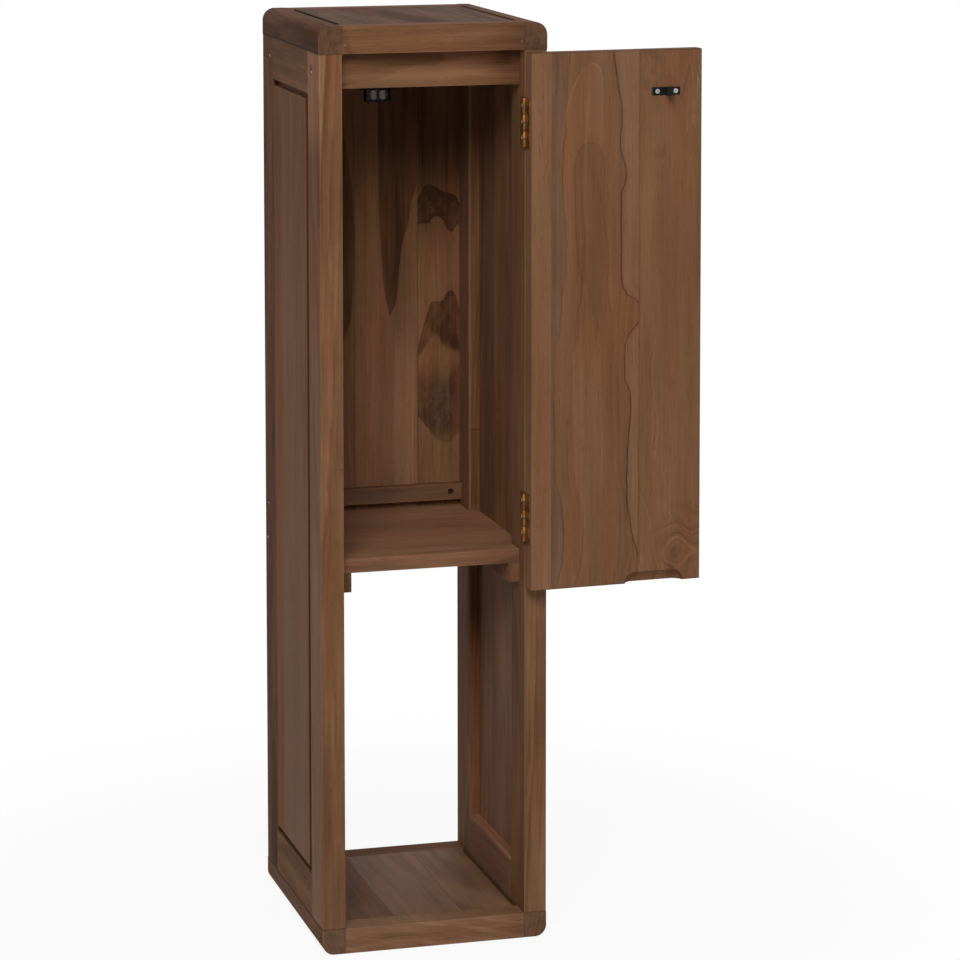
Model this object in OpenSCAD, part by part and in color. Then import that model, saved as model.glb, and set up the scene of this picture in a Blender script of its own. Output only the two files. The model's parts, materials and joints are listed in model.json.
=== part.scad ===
// Tall narrow bathroom cabinet in solid reclaimed teak.
// A closed upper compartment with one inset door, and an open bay below it.
// Millimetres, +Z up. The front faces -Y. The origin is the middle of the underside of the base.

/* [Overall] */

// Width of the carcass, left to right
overall_w = 300; // [290:1:340]
// Depth of the carcass, front to back
overall_d = 330; // [310:1:360]
// Height of the carcass, floor to top
overall_h = 1200; // [1150:1:1300]

/* [Top and base frames] */

// Thickness of the top frame
top_t = 35; // [32:0.5:42]
// Thickness of the base frame
base_t = 33; // [31:0.5:40]
// Width of the side rails of both frames
side_rail_w = 30; // [27:0.5:36]
// Width of the front and back rails of both frames
end_rail_w = 33; // [30:0.5:40]
// Radius of the rounded outer edge of the top
top_round = 16; // [8:0.5:20]
// Radius of the rounded outer edge of the base
base_round = 15; // [8:0.5:20]
// Radius of the softened front and back top edge
edge_round = 4; // [1:0.5:6]
// Open slot left beside the boards of each frame
board_slot = 6; // [3:0.5:9]
// Where the joint between the left and middle floor boards lies
floor_joint_a = -48; // [-70:1:-20]
// Where the joint between the middle and right floor boards lies
floor_joint_b = 44; // [20:1:70]
// Thickness of the tongue on the boards of each frame
board_tongue_t = 11; // [8:0.5:13]
// How far that tongue enters the rails
board_tongue_l = 7; // [4:0.5:9]

/* [Side frames] */

// Thickness of the stiles and rails of a side, left to right
leg_t = 30; // [27:0.5:36]
// Width of the front and rear stiles, front to back
leg_w = 62; // [50:1:70]
// Radius of the rounded outer edges of the stiles
stile_round = 2.5; // [0.5:0.5:4]
// Height of the top and bottom rails of a side
side_rail_h = 55; // [45:1:60]
// Thickness of the side panel
side_panel_t = 15; // [12:0.5:17]
// How far the panel lies below the outer face of the frame
panel_sink = 0.5; // [0.3:0.1:3]
// Radius of the rounded edge round the panel inside
inner_round = 4; // [1:0.5:5]
// Width of the groove that shows above and below the panel outside
panel_groove = 8; // [4:0.5:12]
// Width of the groove between the panel and the front stile
panel_front_gap = 13; // [4:0.5:16]
// Width of the groove between the panel and the rear stile
panel_rear_gap = 1.5; // [1:0.5:8]
// Depth of those grooves
panel_groove_deep = 7; // [5:0.5:8]
// How far the panel tongue enters the frame
panel_tongue_l = 7; // [4:0.5:9]
// Length of the tenons on the side rails
tenon_l = 12; // [8:0.5:12]
// Thickness of those tenons
tenon_t = 9; // [7:0.5:12]

/* [Cross rails] */

// Height of the header rail above the door opening
header_h = 46; // [40:1:60]
// Thickness of the header rail, front to back
header_t = 42; // [34:1:42]
// How far the header and the shelf stand back from the front
front_recess = 22; // [21.5:0.5:26]
// Thickness of the back top rail, front to back
back_rail_t = 42; // [30:1:44]
// Height of the lower back rail
low_rail_h = 22; // [18:1:30]
// Thickness of the lower back rail
low_rail_t = 13; // [12:0.5:16]
// Gap between the shelf and the lower back rail
low_rail_lift = 9; // [4:0.5:14]
// Height of the bearer under the back of the shelf
bearer_h = 22; // [18:1:26]
// Thickness of that bearer, front to back
bearer_t = 22; // [18:1:26]

/* [Shelf] */

// Height of the upper face of the shelf above the floor
shelf_z = 512; // [460:1:560]
// Thickness of the shelf
shelf_t = 18; // [15:0.5:22]
// Radius of the rounded front edge of the shelf
shelf_round = 3; // [0.5:0.5:5]
// Gap between the shelf and the side panels
shelf_gap = 0.3; // [0.2:0.1:1]
// Width of a shelf cleat
cleat_w = 15; // [12:0.5:20]
// Height of a shelf cleat
cleat_h = 25; // [23:0.5:32]
// Place of the front cleat screw, from the front of the stile
cleat_screw_front = 48; // [36:1:52]
// Place of the rear cleat screw, from the back of the stile
cleat_screw_rear = 44; // [36:1:52]

/* [Back] */

// Thickness of the back boards
back_t = 12; // [9:0.5:14]
// Width of the rebate that holds them in the rear stiles
back_rebate = 10; // [6:0.5:12]
// Where the joint between the left and middle boards lies
back_joint_a = -28; // [-60:1:0]
// Where the joint between the middle and right boards lies
back_joint_b = 61; // [30:1:80]

/* [Door] */

// Thickness of the door
door_t = 20; // [17:0.5:20]
// Height of the lower edge of the door above the floor
door_low = 467; // [420:1:474]
// Gap above the door
door_top_gap = 2.5; // [1.5:0.5:5]
// Gap beside the free edge of the door
door_free_gap = 4.5; // [2:0.5:6]
// Width of the board at the hinges
hinge_board_w = 27.5; // [22:0.5:40]
// Width of the board at the free edge
free_board_w = 86; // [78:0.5:100]
// Radius of the finger pull
pull_r = 14; // [8:0.5:16]
// Length of the straight middle of the finger pull
pull_l = 52; // [30:1:70]
// Centre of the finger pull, from the hinge edge
pull_pos = 169; // [150:1:180]
// How far the centre of the finger pull lies outside the face
pull_out = 3; // [1:0.5:6]
// Angle at which the door stands open
door_open = 183; // [0:1:190]

/* [Hinges] */

// Height of a hinge
hinge_h = 64; // [50:1:76]
// Middle of the upper hinge, below the top of the stile
hinge_top_drop = 93; // [80:1:120]
// Middle of the lower hinge, above the shelf
hinge_low_lift = 46.5; // [36:0.5:80]
// Thickness of a hinge leaf
leaf_t = 1.2; // [0.8:0.1:1.6]
// Width of a hinge leaf on the wood
leaf_w = 14.8; // [12:0.1:16.5]
// Play between two closed leaves
leaf_play = 0.1; // [0.1:0.05:0.6]
// Radius of the hinge barrel
barrel_r = 3; // [2.4:0.1:3.2]
// How far the barrel's axis stands in front of the stile
barrel_out = 3.2; // [3.2:0.1:4.5]
// Radius of the hinge pin
hinge_pin_r = 1.3; // [0.9:0.1:1.6]
// Running clearance round the hinge pin
hinge_pin_play = 0.06; // [0.03:0.01:0.1]
// Number of knuckles in a hinge
knuckles = 6; // [4:1:8]
// Gap between two knuckles
knuckle_gap = 0.2; // [0.1:0.05:0.4]
// Height between the outer screws of a leaf
leaf_screw_span = 42; // [30:1:46]
// Length of a leaf screw
leaf_screw_l = 15; // [12:0.5:18]

/* [Catch] */

// Middle of the catch, from the inner face of the left stile
catch_in = 54; // [40:1:80]
// Middle of the rollers behind the front of the stiles
roller_in = 30; // [29:0.5:34]
// Radius of a roller
roller_r = 4.5; // [4:0.1:5]
// Height of a roller
roller_h = 11.2; // [10:0.1:13]
// Gap between the two rollers at rest
roller_gap = 2.8; // [2.6:0.1:4]
// Radius of a roller pin
roller_pin_r = 1.5; // [1.2:0.1:1.6]
// Running clearance round a roller pin
roller_play = 0.06; // [0.03:0.01:0.1]
// How far each roller can be pushed aside
roller_travel = 4.4; // [4.2:0.1:4.8]
// Mean radius of a catch spring
spring_r = 1.6; // [1.3:0.1:2]
// Radius of the spring wire
spring_wire_r = 0.25; // [0.15:0.05:0.25]
// Turns of a catch spring
spring_turns = 3; // [2:1:4]
// Thickness of the catch plates
catch_plate_t = 1.2; // [0.8:0.1:1.6]
// Half width of the strike's head
head_half = 4.5; // [3.5:0.1:4.6]
// Half width of the strike's neck
neck_half = 1.2; // [1:0.05:1.25]
// Width of the strike plate
strike_w = 38; // [34:1:44]
// Height of the strike plate
strike_h = 10.2; // [8:0.1:10.8]
// Distance between the strike screws
strike_screw_span = 25; // [22:1:28]

/* [Fasteners] */

// Radius of the shank of a wood screw
screw_r = 1.6; // [1.2:0.1:2]
// Radius of a countersunk screw head
csk_r = 2.8; // [2.3:0.1:3.2]
// Radius of a pan head
pan_r = 3.1; // [2.4:0.1:3.4]
// Radius of a side bolt
bolt_r = 3; // [2.5:0.1:3.5]
// Radius of a bolt head
bolt_head_r = 5; // [4.2:0.1:5.5]
// Depth of a bolt head below the face of the stile
bolt_sink = 1; // [0.3:0.1:2]
// Radius of a barrel nut
nut_r = 4; // [4:0.1:5]
// Length of a barrel nut
nut_l = 11; // [9:0.5:11]
// Depth of a barrel nut below the face of the lower back rail
nut_sink = 1.5; // [0.3:0.1:1.5]
// Radius of a dowel
dowel_r = 4; // [3:0.5:4]

/* [Hidden] */

$fn = 64;
e = 0.01;
fit = 0.2;
hole_play = 0.05;

half_w = overall_w / 2;
half_d = overall_d / 2;
front_y = -half_d;
back_y = half_d;
leg_z0 = base_t;
leg_z1 = overall_h - top_t;
inner_x = half_w - leg_t;

// Side panel, measured from the outer face of the left side frame
panel_out_x = panel_sink;
panel_in_x = panel_sink + side_panel_t;
tongue_x0 = panel_sink + panel_groove_deep;
opening_y = half_d - leg_w;
opening_z0 = leg_z0 + side_rail_h;
opening_z1 = leg_z1 - side_rail_h;
field_y0 = -opening_y + panel_front_gap;
field_y1 = opening_y - panel_rear_gap;
field_z0 = opening_z0 + panel_groove;
field_z1 = opening_z1 - panel_groove;
side_wall_x = half_w - panel_in_x;

// Cross rails
header_y0 = front_y + front_recess;
header_y1 = header_y0 + header_t;
header_z0 = leg_z1 - header_h;
back_face_y = back_y - back_t;
back_rail_y0 = back_face_y - back_rail_t;
low_rail_y0 = back_face_y - low_rail_t;
low_rail_z0 = shelf_z + low_rail_lift;
low_rail_z1 = low_rail_z0 + low_rail_h;
shelf_under = shelf_z - shelf_t;
back_z0 = shelf_under;
bearer_y0 = back_y - bearer_t;

// Door, drawn closed and then swung open about the hinge axis
hinge_gap = 2 * leaf_t + leaf_play;
door_x1 = inner_x - hinge_gap;
door_x0 = -inner_x + door_free_gap;
door_w = door_x1 - door_x0;
door_z1 = leg_z1 - door_top_gap;
door_in_y = front_y + door_t;
axis_x = inner_x - leaf_t - leaf_play / 2;
axis_y = front_y - barrel_out;
hinge_hi = leg_z1 - hinge_top_drop;
hinge_lo = shelf_z + hinge_low_lift;
leaf_y0 = front_y + fit;
leaf_screw_y = leaf_y0 + leaf_w / 2 + 0.4;
csk_h = leaf_t;

// Catch
catch_x = -inner_x + catch_in;
roller_y = front_y + roller_in;
roller_dx = roller_gap / 2 + roller_r;
catch_z1 = header_z0;
plate_z0 = catch_z1 - catch_plate_t - 0.4;
arm_hi_z0 = plate_z0 - 0.8 - catch_plate_t;
roller_z1 = arm_hi_z0 - 0.4;
roller_z0 = roller_z1 - roller_h;
arm_lo_z0 = roller_z0 - 0.4 - catch_plate_t;
floor_z0 = arm_lo_z0 - 0.4 - catch_plate_t;
cheek_x = roller_dx + roller_r + roller_travel + 0.5;
web_y0 = roller_y + roller_r + 0.7;
web_y1 = web_y0 + 2.2;
web_x0 = head_half + 0.6;
web_x1 = roller_dx + 3.4;
cage_y0 = roller_y - roller_r - 1;
cage_y1 = web_y1 + 1.4;
ear_x = cheek_x + catch_plate_t + pan_r + 0.8;
strike_mid_z = (roller_z0 + roller_z1) / 2 - 0.5;
shoulder_y = roller_y + 2;
head_y = shoulder_y + 3.6;
tip_y = head_y + 4.2;

// Bolts: distance from the middle of the depth, height, and nut span
bolt_seat = bolt_sink + 3;
bolt_reach = 46;
nut_x = half_w - bolt_seat - bolt_reach + 4;
header_bolt = [header_y0 + header_t / 2, leg_z1 - header_h / 2];
top_bolt = [back_rail_y0 + 12, leg_z1 - header_h / 2];
low_bolt = [low_rail_y0 + low_rail_t / 2, low_rail_z0 + low_rail_h / 2];
bearer_bolt = [bearer_y0 + bearer_t / 2, shelf_under - bearer_h / 2];
bolt_spots = [header_bolt, top_bolt, low_bolt, bearer_bolt];
nut_starts = [header_bolt[0] - nut_l / 2, top_bolt[0] - nut_l / 2,
              low_rail_y0 + nut_sink, bearer_bolt[0] - nut_l / 2];

dowel_in = 20;
dowel_out = 14;
dowel_x = half_w - leg_t / 2;
dowel_y = half_d - leg_w / 2;
rail_dowel_y = half_d - end_rail_w / 2;
rail_dowel_in = 18;

wood = "#7a5540";
wood_dark = "#694837";
wood_light = "#8a6446";
brass = "#b98a3c";
steel = "#9a9a9c";
black = "#26262a";

// A box from one corner to the opposite one
module box(a, b) {
    translate(a)
        cube(b - a);
}

// A cylinder along X from x0 to x1
module rod_x(x0, x1, y, z, r) {
    translate([x0, y, z])
        rotate([0, 90, 0])
            cylinder(h = x1 - x0, r = r);
}

// A cylinder along Y from y0 to y1
module rod_y(x, y0, y1, z, r) {
    translate([x, y1, z])
        rotate([90, 0, 0])
            cylinder(h = y1 - y0, r = r);
}

// A cylinder along Z from z0 to z1
module rod_z(x, y, z0, z1, r) {
    translate([x, y, z0])
        cylinder(h = z1 - z0, r = r);
}

// A cutter for an edge along +Z at the origin, where the piece lies towards +X and +Y
module edge_cutter(r, l) {
    difference() {
        translate([-1, -1, 0])
            cube([r + 1, r + 1, l]);
        translate([r, r, -1])
            cylinder(h = l + 2, r = r);
    }
}

// Copies a left part to the right side
module right_side() {
    mirror([1, 0, 0])
        children();
}

// Swings the closed door to the angle at which it stands
module swung() {
    translate([axis_x, axis_y, 0])
        rotate([0, 0, door_open])
            translate([-axis_x, -axis_y, 0])
                children();
}

// Side bolt with a hexagon socket, seated in the left side frame
module side_bolt(spot) {
    seat = -half_w + bolt_seat;
    difference() {
        union() {
            rod_x(-half_w + bolt_sink, seat, spot[0], spot[1], bolt_head_r);
            rod_x(seat - e, seat + bolt_reach, spot[0], spot[1], bolt_r);
        }
        translate([-half_w + bolt_sink - e, spot[0], spot[1]])
            rotate([0, 90, 0])
                cylinder(h = 2, r = 2.3, $fn = 6);
    }
}

// The holes for the bolts that pass the left side frame
module side_bolt_holes() {
    for (spot = bolt_spots) {
        rod_x(-half_w - e, -half_w + bolt_seat, spot[0], spot[1], bolt_head_r + 0.7);
        rod_x(-half_w + e, -inner_x + e, spot[0], spot[1], bolt_r + fit);
    }
}

// The bolt and nut holes at both ends of a cross rail
module end_bolt_holes(spot, y0, y1) {
    for (s = [-1, 1]) {
        rod_x(min(s * inner_x, s * (nut_x - 6)), max(s * inner_x, s * (nut_x - 6)),
              spot[0], spot[1], bolt_r + fit);
        rod_y(s * nut_x, y0, y1, spot[1], nut_r + 0.1);
    }
}

// Upright dowels between the side frames and the top and base
module upright_dowels(play) {
    for (x = [-dowel_x, dowel_x]) {
        for (y = [-dowel_y, dowel_y]) {
            rod_z(x, y, leg_z1 - dowel_in, leg_z1 + dowel_out, dowel_r + play);
            rod_z(x, y, leg_z0 - dowel_out, leg_z0 + dowel_in, dowel_r + play);
        }
    }
}

// Level dowels between the rails of the top and base frames
module level_dowels(play) {
    for (z = [leg_z1 + top_t / 2, base_t / 2]) {
        for (y = [-rail_dowel_y, rail_dowel_y]) {
            rod_x(-inner_side() - 13, -inner_side() + rail_dowel_in, y, z, dowel_r + play);
            rod_x(inner_side() - rail_dowel_in, inner_side() + 13, y, z, dowel_r + play);
        }
    }
}

function inner_side() = half_w - side_rail_w;

// Small pins in the front of the front rails
module front_pins(play) {
    for (x = [-inner_side() + 4, inner_side() - 4]) {
        for (z = [leg_z1 + 11, base_t - 11]) {
            rod_y(x, front_y, front_y + 9, z, 1.2 + play);
        }
    }
}

// A rectangle from the origin with its upper left corner rounded
module round_corner_profile(w, t, r) {
    translate([r, 0])
        square([w - r, t]);
    square([r + e, t - r]);
    intersection() {
        translate([r, t - r])
            circle(r = r);
        translate([0, t - r - e])
            square([r + e, r + e]);
    }
}

// A side rail of the top or base frame, at the left
module frame_side_rail(z0, t, r, up) {
    x0 = -half_w;
    x1 = -inner_side();
    groove_z = z0 + (t - board_tongue_t) / 2;
    difference() {
        rotate([90, 0, 0])
            translate([0, 0, -half_d])
                linear_extrude(height = overall_d)
                    if (up) {
                        translate([x0, z0])
                            round_corner_profile(side_rail_w, t, r);
                    } else {
                        translate([x0, z0 + t])
                            mirror([0, 1])
                                round_corner_profile(side_rail_w, t, r);
                    }
        box([x1 - board_tongue_l - fit, -half_d + end_rail_w - board_tongue_l - fit,
             groove_z - fit / 2],
            [x1 + e, half_d - end_rail_w + board_tongue_l + fit,
             groove_z + board_tongue_t + fit / 2]);
        upright_dowels(hole_play);
        level_dowels(hole_play);
    }
}

// The front rail of the top or base frame; the back one is its mirror image
module frame_end_rail(z0, t, r_top) {
    y0 = front_y;
    y1 = front_y + end_rail_w;
    groove_z = z0 + (t - board_tongue_t) / 2;
    difference() {
        rotate([90, 0, 90])
            translate([0, 0, -inner_side()])
                linear_extrude(height = 2 * inner_side())
                    translate([y0, z0])
                        round_corner_profile(end_rail_w, t, r_top);
        box([-inner_side() - e, y1 - board_tongue_l - fit, groove_z - fit / 2],
            [inner_side() + e, y1 + e, groove_z + board_tongue_t + fit / 2]);
        level_dowels(hole_play);
    }
}

// Boards that fill the top or base frame, with an open slot at left and right
module frame_boards(z0, t) {
    field_x = inner_side() - board_slot;
    end_y = half_d - end_rail_w;
    tz = z0 + (t - board_tongue_t) / 2;
    box([-field_x, -end_y, z0], [field_x, end_y, z0 + t]);
    box([-inner_side() - board_tongue_l, -end_y, tz],
        [inner_side() + board_tongue_l, end_y, tz + board_tongue_t]);
    box([-inner_side() + fit, -end_y - board_tongue_l, tz],
        [inner_side() - fit, end_y + board_tongue_l, tz + board_tongue_t]);
}

// The stretch of a part between two planes across X
module between(x0, x1) {
    intersection() {
        children();
        box([x0, -half_d, -e], [x1, half_d, overall_h + e]);
    }
}

// The groove of a side frame that holds the panel tongue
module panel_groove_cut() {
    box([-half_w + tongue_x0 - fit / 2, -opening_y - panel_tongue_l - fit,
         opening_z0 - panel_tongue_l - fit],
        [-half_w + panel_in_x + fit / 2, opening_y + panel_tongue_l + fit,
         opening_z1 + panel_tongue_l + fit]);
}

// Tenons of the left top and bottom rails
module tenons(z0, z1, play) {
    x0 = -half_w + (leg_t - tenon_t) / 2;
    y0 = opening_y - e;
    y1 = opening_y + tenon_l + play;
    for (s = [-1, 1]) {
        box([x0 - play, min(s * y0, s * y1), z0 - play],
            [x0 + tenon_t + play, max(s * y0, s * y1), z1 + play]);
    }
}

// Left front stile
module front_stile() {
    difference() {
        box([-half_w, front_y, leg_z0], [-inner_x, front_y + leg_w, leg_z1]);
        panel_groove_cut();
        tenons(leg_z1 - side_rail_h + 12, leg_z1 - 8, 0.1);
        tenons(leg_z0 + 8, leg_z0 + side_rail_h - 12, 0.1);
        side_bolt_holes();
        upright_dowels(hole_play);
        cleat_screw_shapes(hole_play);
        translate([-half_w, front_y, leg_z0 - 1])
            edge_cutter(stile_round, leg_z1 - leg_z0 + 2);
        translate([-inner_x, -opening_y, opening_z0])
            rotate([0, 0, 180])
                edge_cutter(inner_round, opening_z1 - opening_z0);
    }
}

// Left rear stile, with the rebate for the back boards
module rear_stile() {
    difference() {
        box([-half_w, back_y - leg_w, leg_z0], [-inner_x, back_y, leg_z1]);
        panel_groove_cut();
        tenons(leg_z1 - side_rail_h + 12, leg_z1 - 8, 0.1);
        tenons(leg_z0 + 8, leg_z0 + side_rail_h - 12, 0.1);
        side_bolt_holes();
        upright_dowels(hole_play);
        box([-inner_x - back_rebate, back_face_y, back_z0], [e - inner_x, back_y + e, leg_z1 + e]);
        cleat_screw_shapes(hole_play);
        back_screw_shapes(hole_play);
        translate([-half_w, back_y, leg_z0 - 1])
            rotate([0, 0, -90])
                edge_cutter(stile_round, leg_z1 - leg_z0 + 2);
        translate([-inner_x, opening_y, opening_z0])
            rotate([0, 0, 90])
                edge_cutter(inner_round, opening_z1 - opening_z0);
    }
}

// A left side rail between the stiles
module side_rail(z0, up) {
    tz0 = up ? z0 + 12 : z0 + 8;
    tz1 = up ? z0 + side_rail_h - 8 : z0 + side_rail_h - 12;
    difference() {
        box([-half_w, -opening_y, z0], [-inner_x, opening_y, z0 + side_rail_h]);
        panel_groove_cut();
        translate([-inner_x, -opening_y - 1, up ? z0 : z0 + side_rail_h])
            rotate([-90, 0, 0])
                rotate([0, 0, up ? 180 : 90])
                    edge_cutter(inner_round, 2 * opening_y + 2);
    }
    tenons(tz0, tz1, 0);
}

// Left side panel: a field that has settled to the rear, with a tongue all round
module side_panel() {
    box([-half_w + panel_out_x, field_y0, field_z0], [-half_w + panel_in_x, field_y1, field_z1]);
    box([-half_w + tongue_x0, -opening_y - panel_tongue_l, opening_z0 - panel_tongue_l],
        [-half_w + panel_in_x, opening_y + panel_tongue_l, opening_z1 + panel_tongue_l]);
}

// One back board between two joints
module back_board(x0, x1) {
    difference() {
        box([x0, back_face_y, back_z0 + 0.3], [x1, back_y, leg_z1 - 0.3]);
        back_screw_shapes(hole_play);
    }
}

// Screws that hold the back boards to the rails, from behind
module back_screw_shapes(play) {
    board_edges = [-inner_x - back_rebate + 0.5, back_joint_a, back_joint_b, inner_x + back_rebate - 0.5];
    for (i = [0 : 2]) {
        for (k = [0.25, 0.75]) {
            x = board_edges[i] + (board_edges[i + 1] - board_edges[i]) * k;
            for (z = [low_rail_z0 + 5, leg_z1 - 12]) {
                rod_y(x, back_face_y - 9, back_y - e, z, screw_r + play);
                translate([x, back_y + e, z])
                    rotate([90, 0, 0])
                        cylinder(h = 2, r1 = csk_r + play, r2 = screw_r + play);
            }
        }
    }
}

// Screws that hold a cleat to the left stiles
module cleat_screw_shapes(play) {
    x1 = -inner_x + cleat_w;
    z = shelf_under - cleat_h / 2;
    for (y = [front_y + cleat_screw_front, back_y - cleat_screw_rear]) {
        rod_x(-inner_x - 13, x1 - e, y, z, screw_r + play);
        translate([x1 + e, y, z])
            rotate([0, -90, 0])
                cylinder(h = 2.4, r1 = csk_r + 0.4 + play, r2 = screw_r + play);
    }
}

// Left shelf cleat
module cleat() {
    difference() {
        box([-inner_x, header_y0, shelf_under - cleat_h],
            [-inner_x + cleat_w, bearer_y0, shelf_under]);
        cleat_screw_shapes(hole_play);
    }
}

// Shelf, notched round the four stiles
module shelf_outline() {
    sx = side_wall_x - shelf_gap;
    nx = inner_x - shelf_gap;
    sy = opening_y - shelf_gap;
    y1 = back_face_y - fit;
    polygon([[-nx, header_y0], [nx, header_y0], [nx, -sy], [sx, -sy], [sx, sy], [nx, sy],
             [nx, y1], [-nx, y1], [-nx, sy], [-sx, sy], [-sx, -sy], [-nx, -sy]]);
}

// Height span of one knuckle, counted from the top of a hinge
function knuckle_z(mid, i) = mid + hinge_h / 2 - (i + 1) * hinge_h / knuckles;

// Half of a butt hinge. The frame half has the even knuckles, the door half the odd ones.
module hinge_half(mid, of_door) {
    x0 = of_door ? door_x1 : inner_x - leaf_t;
    step = hinge_h / knuckles;
    first = of_door ? 1 : 0;
    bore = of_door ? hinge_pin_r + hinge_pin_play : hinge_pin_r;
    difference() {
        union() {
            box([x0, leaf_y0, mid - hinge_h / 2], [x0 + leaf_t, leaf_y0 + leaf_w, mid + hinge_h / 2]);
            for (i = [first : 2 : knuckles - 1]) {
                z = knuckle_z(mid, i) + knuckle_gap / 2;
                rod_z(axis_x, axis_y, z, z + step - knuckle_gap, barrel_r);
                box([x0, axis_y, z], [x0 + leaf_t, leaf_y0 + e, z + step - knuckle_gap]);
            }
        }
        rod_z(axis_x, axis_y, mid - hinge_h, mid + hinge_h, bore);
        leaf_screw_shapes(mid, of_door, 0.03);
    }
}

// Children at the three screw heads of one leaf, with +Z into the wood
module at_leaf_screws(mid, of_door) {
    s = of_door ? -1 : 1;
    x_face = of_door ? door_x1 + leaf_t : inner_x - leaf_t;
    for (k = [-1 : 1]) {
        translate([x_face, leaf_screw_y, mid + k * leaf_screw_span / 2])
            rotate([0, 90 * s, 0])
                children();
    }
}

// The three screws of one leaf
module leaf_screw_shapes(mid, of_door, play) {
    at_leaf_screws(mid, of_door) {
        translate([0, 0, -e])
            cylinder(h = csk_h + e, r1 = csk_r + play, r2 = screw_r + play);
        cylinder(h = leaf_screw_l, r = screw_r + play);
    }
}

// The three screws of one leaf, with a crossed recess in each head
module leaf_screws(mid, of_door) {
    difference() {
        leaf_screw_shapes(mid, of_door, 0);
        at_leaf_screws(mid, of_door)
            cross_slots();
    }
}

// Hinge pin with a low cap at each end
module hinge_pin(mid) {
    rod_z(axis_x, axis_y, mid - hinge_h / 2, mid + hinge_h / 2, hinge_pin_r);
    rod_z(axis_x, axis_y, mid + hinge_h / 2, mid + hinge_h / 2 + 0.9, barrel_r - 0.7);
    rod_z(axis_x, axis_y, mid - hinge_h / 2 - 0.9, mid - hinge_h / 2, barrel_r - 0.7);
}

// The rounded hollow for the fingers in the lower edge of the closed door
module pull_hollow() {
    x = door_x1 - pull_pos;
    y = door_in_y + pull_out;
    rod_x(x - pull_l / 2, x + pull_l / 2, y, door_low, pull_r);
    for (s = [-1, 1]) {
        translate([x + s * pull_l / 2, y, door_low])
            sphere(r = pull_r);
    }
}

// One board of the closed door, from u0 to u1 counted from the hinge edge
module door_board(u0, u1) {
    difference() {
        box([door_x1 - u1, front_y, door_low], [door_x1 - u0, door_in_y, door_z1]);
        pull_hollow();
        leaf_screw_shapes(hinge_hi, true, hole_play);
        leaf_screw_shapes(hinge_lo, true, hole_play);
        strike_screw_shapes(hole_play);
    }
}

// Strip bent into a spear that the two rollers close behind
module strike_outline() {
    w = strike_w / 2;
    t = catch_plate_t;
    y = door_in_y;
    difference() {
        polygon([[-w, y], [w, y], [w, y + t], [neck_half, y + t], [neck_half, shoulder_y],
                 [head_half, head_y], [0.8, tip_y], [-0.8, tip_y], [-head_half, head_y],
                 [-neck_half, shoulder_y], [-neck_half, y + t], [-w, y + t]]);
        polygon([[0, shoulder_y + 1.4], [head_half - 1.4, head_y], [0, tip_y - 1.5],
                 [1.4 - head_half, head_y]]);
    }
}

// Pan head screws through the strike plate
module strike_screw_shapes(play) {
    for (s = [-1, 1]) {
        x = catch_x + s * strike_screw_span / 2;
        rod_y(x, door_in_y - 12, door_in_y + catch_plate_t + e, strike_mid_z, screw_r + play);
        rod_y(x, door_in_y + catch_plate_t, door_in_y + catch_plate_t + 1.6, strike_mid_z, pan_r + play);
    }
}

// Pan head screws that hold the catch under the header
module catch_screw_shapes(play) {
    for (s = [-1, 1]) {
        x = catch_x + s * ear_x;
        rod_z(x, roller_y + 3, plate_z0 - e, catch_z1 + 13, screw_r + play);
        rod_z(x, roller_y + 3, plate_z0 - 1.7, plate_z0, pan_r + play);
    }
}

// Crossed slots in the head of a screw that faces along -Z at the origin
module cross_slots() {
    for (a = [0, 90]) {
        rotate([0, 0, a])
            translate([-1.7, -0.35, -e])
                cube([3.4, 0.7, 0.8]);
    }
}

// Cage of the catch: a top plate with ears, two cheeks and a slotted floor
module catch_cage() {
    t = catch_plate_t;
    x_ear = ear_x + pan_r + 1.4;
    difference() {
        union() {
            box([catch_x - x_ear, cage_y0, plate_z0], [catch_x + x_ear, cage_y1, catch_z1]);
            for (s = [-1, 1]) {
                box([min(catch_x + s * cheek_x, catch_x + s * (cheek_x + t)), cage_y0, floor_z0],
                    [max(catch_x + s * cheek_x, catch_x + s * (cheek_x + t)), cage_y1, plate_z0 + e]);
            }
            box([catch_x - cheek_x - e, cage_y0, floor_z0], [catch_x + cheek_x + e, cage_y1, floor_z0 + t]);
        }
        for (s = [-1, 1]) {
            x0 = catch_x + s * roller_dx;
            x1 = catch_x + s * (roller_dx + roller_travel);
            rod_z(x0, roller_y, floor_z0 - 1, floor_z0 + t + 1, roller_pin_r + 0.1);
            rod_z(x1, roller_y, floor_z0 - 1, floor_z0 + t + 1, roller_pin_r + 0.1);
            box([min(x0, x1), roller_y - roller_pin_r - 0.1, floor_z0 - 1],
                [max(x0, x1), roller_y + roller_pin_r + 0.1, floor_z0 + t + 1]);
        }
        catch_screw_shapes(0.03);
    }
}

// Right roller
module roller() {
    difference() {
        union() {
            rod_z(catch_x + roller_dx, roller_y, roller_z0, roller_z1, roller_r - 0.4);
            for (k = [0 : 3]) {
                band = roller_h / 4;
                rod_z(catch_x + roller_dx, roller_y, roller_z0 + k * band + 0.3,
                      roller_z0 + (k + 1) * band - 0.3, roller_r);
            }
        }
        rod_z(catch_x + roller_dx, roller_y, roller_z0 - 1, roller_z1 + 1, roller_pin_r + roller_play);
    }
}

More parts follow.
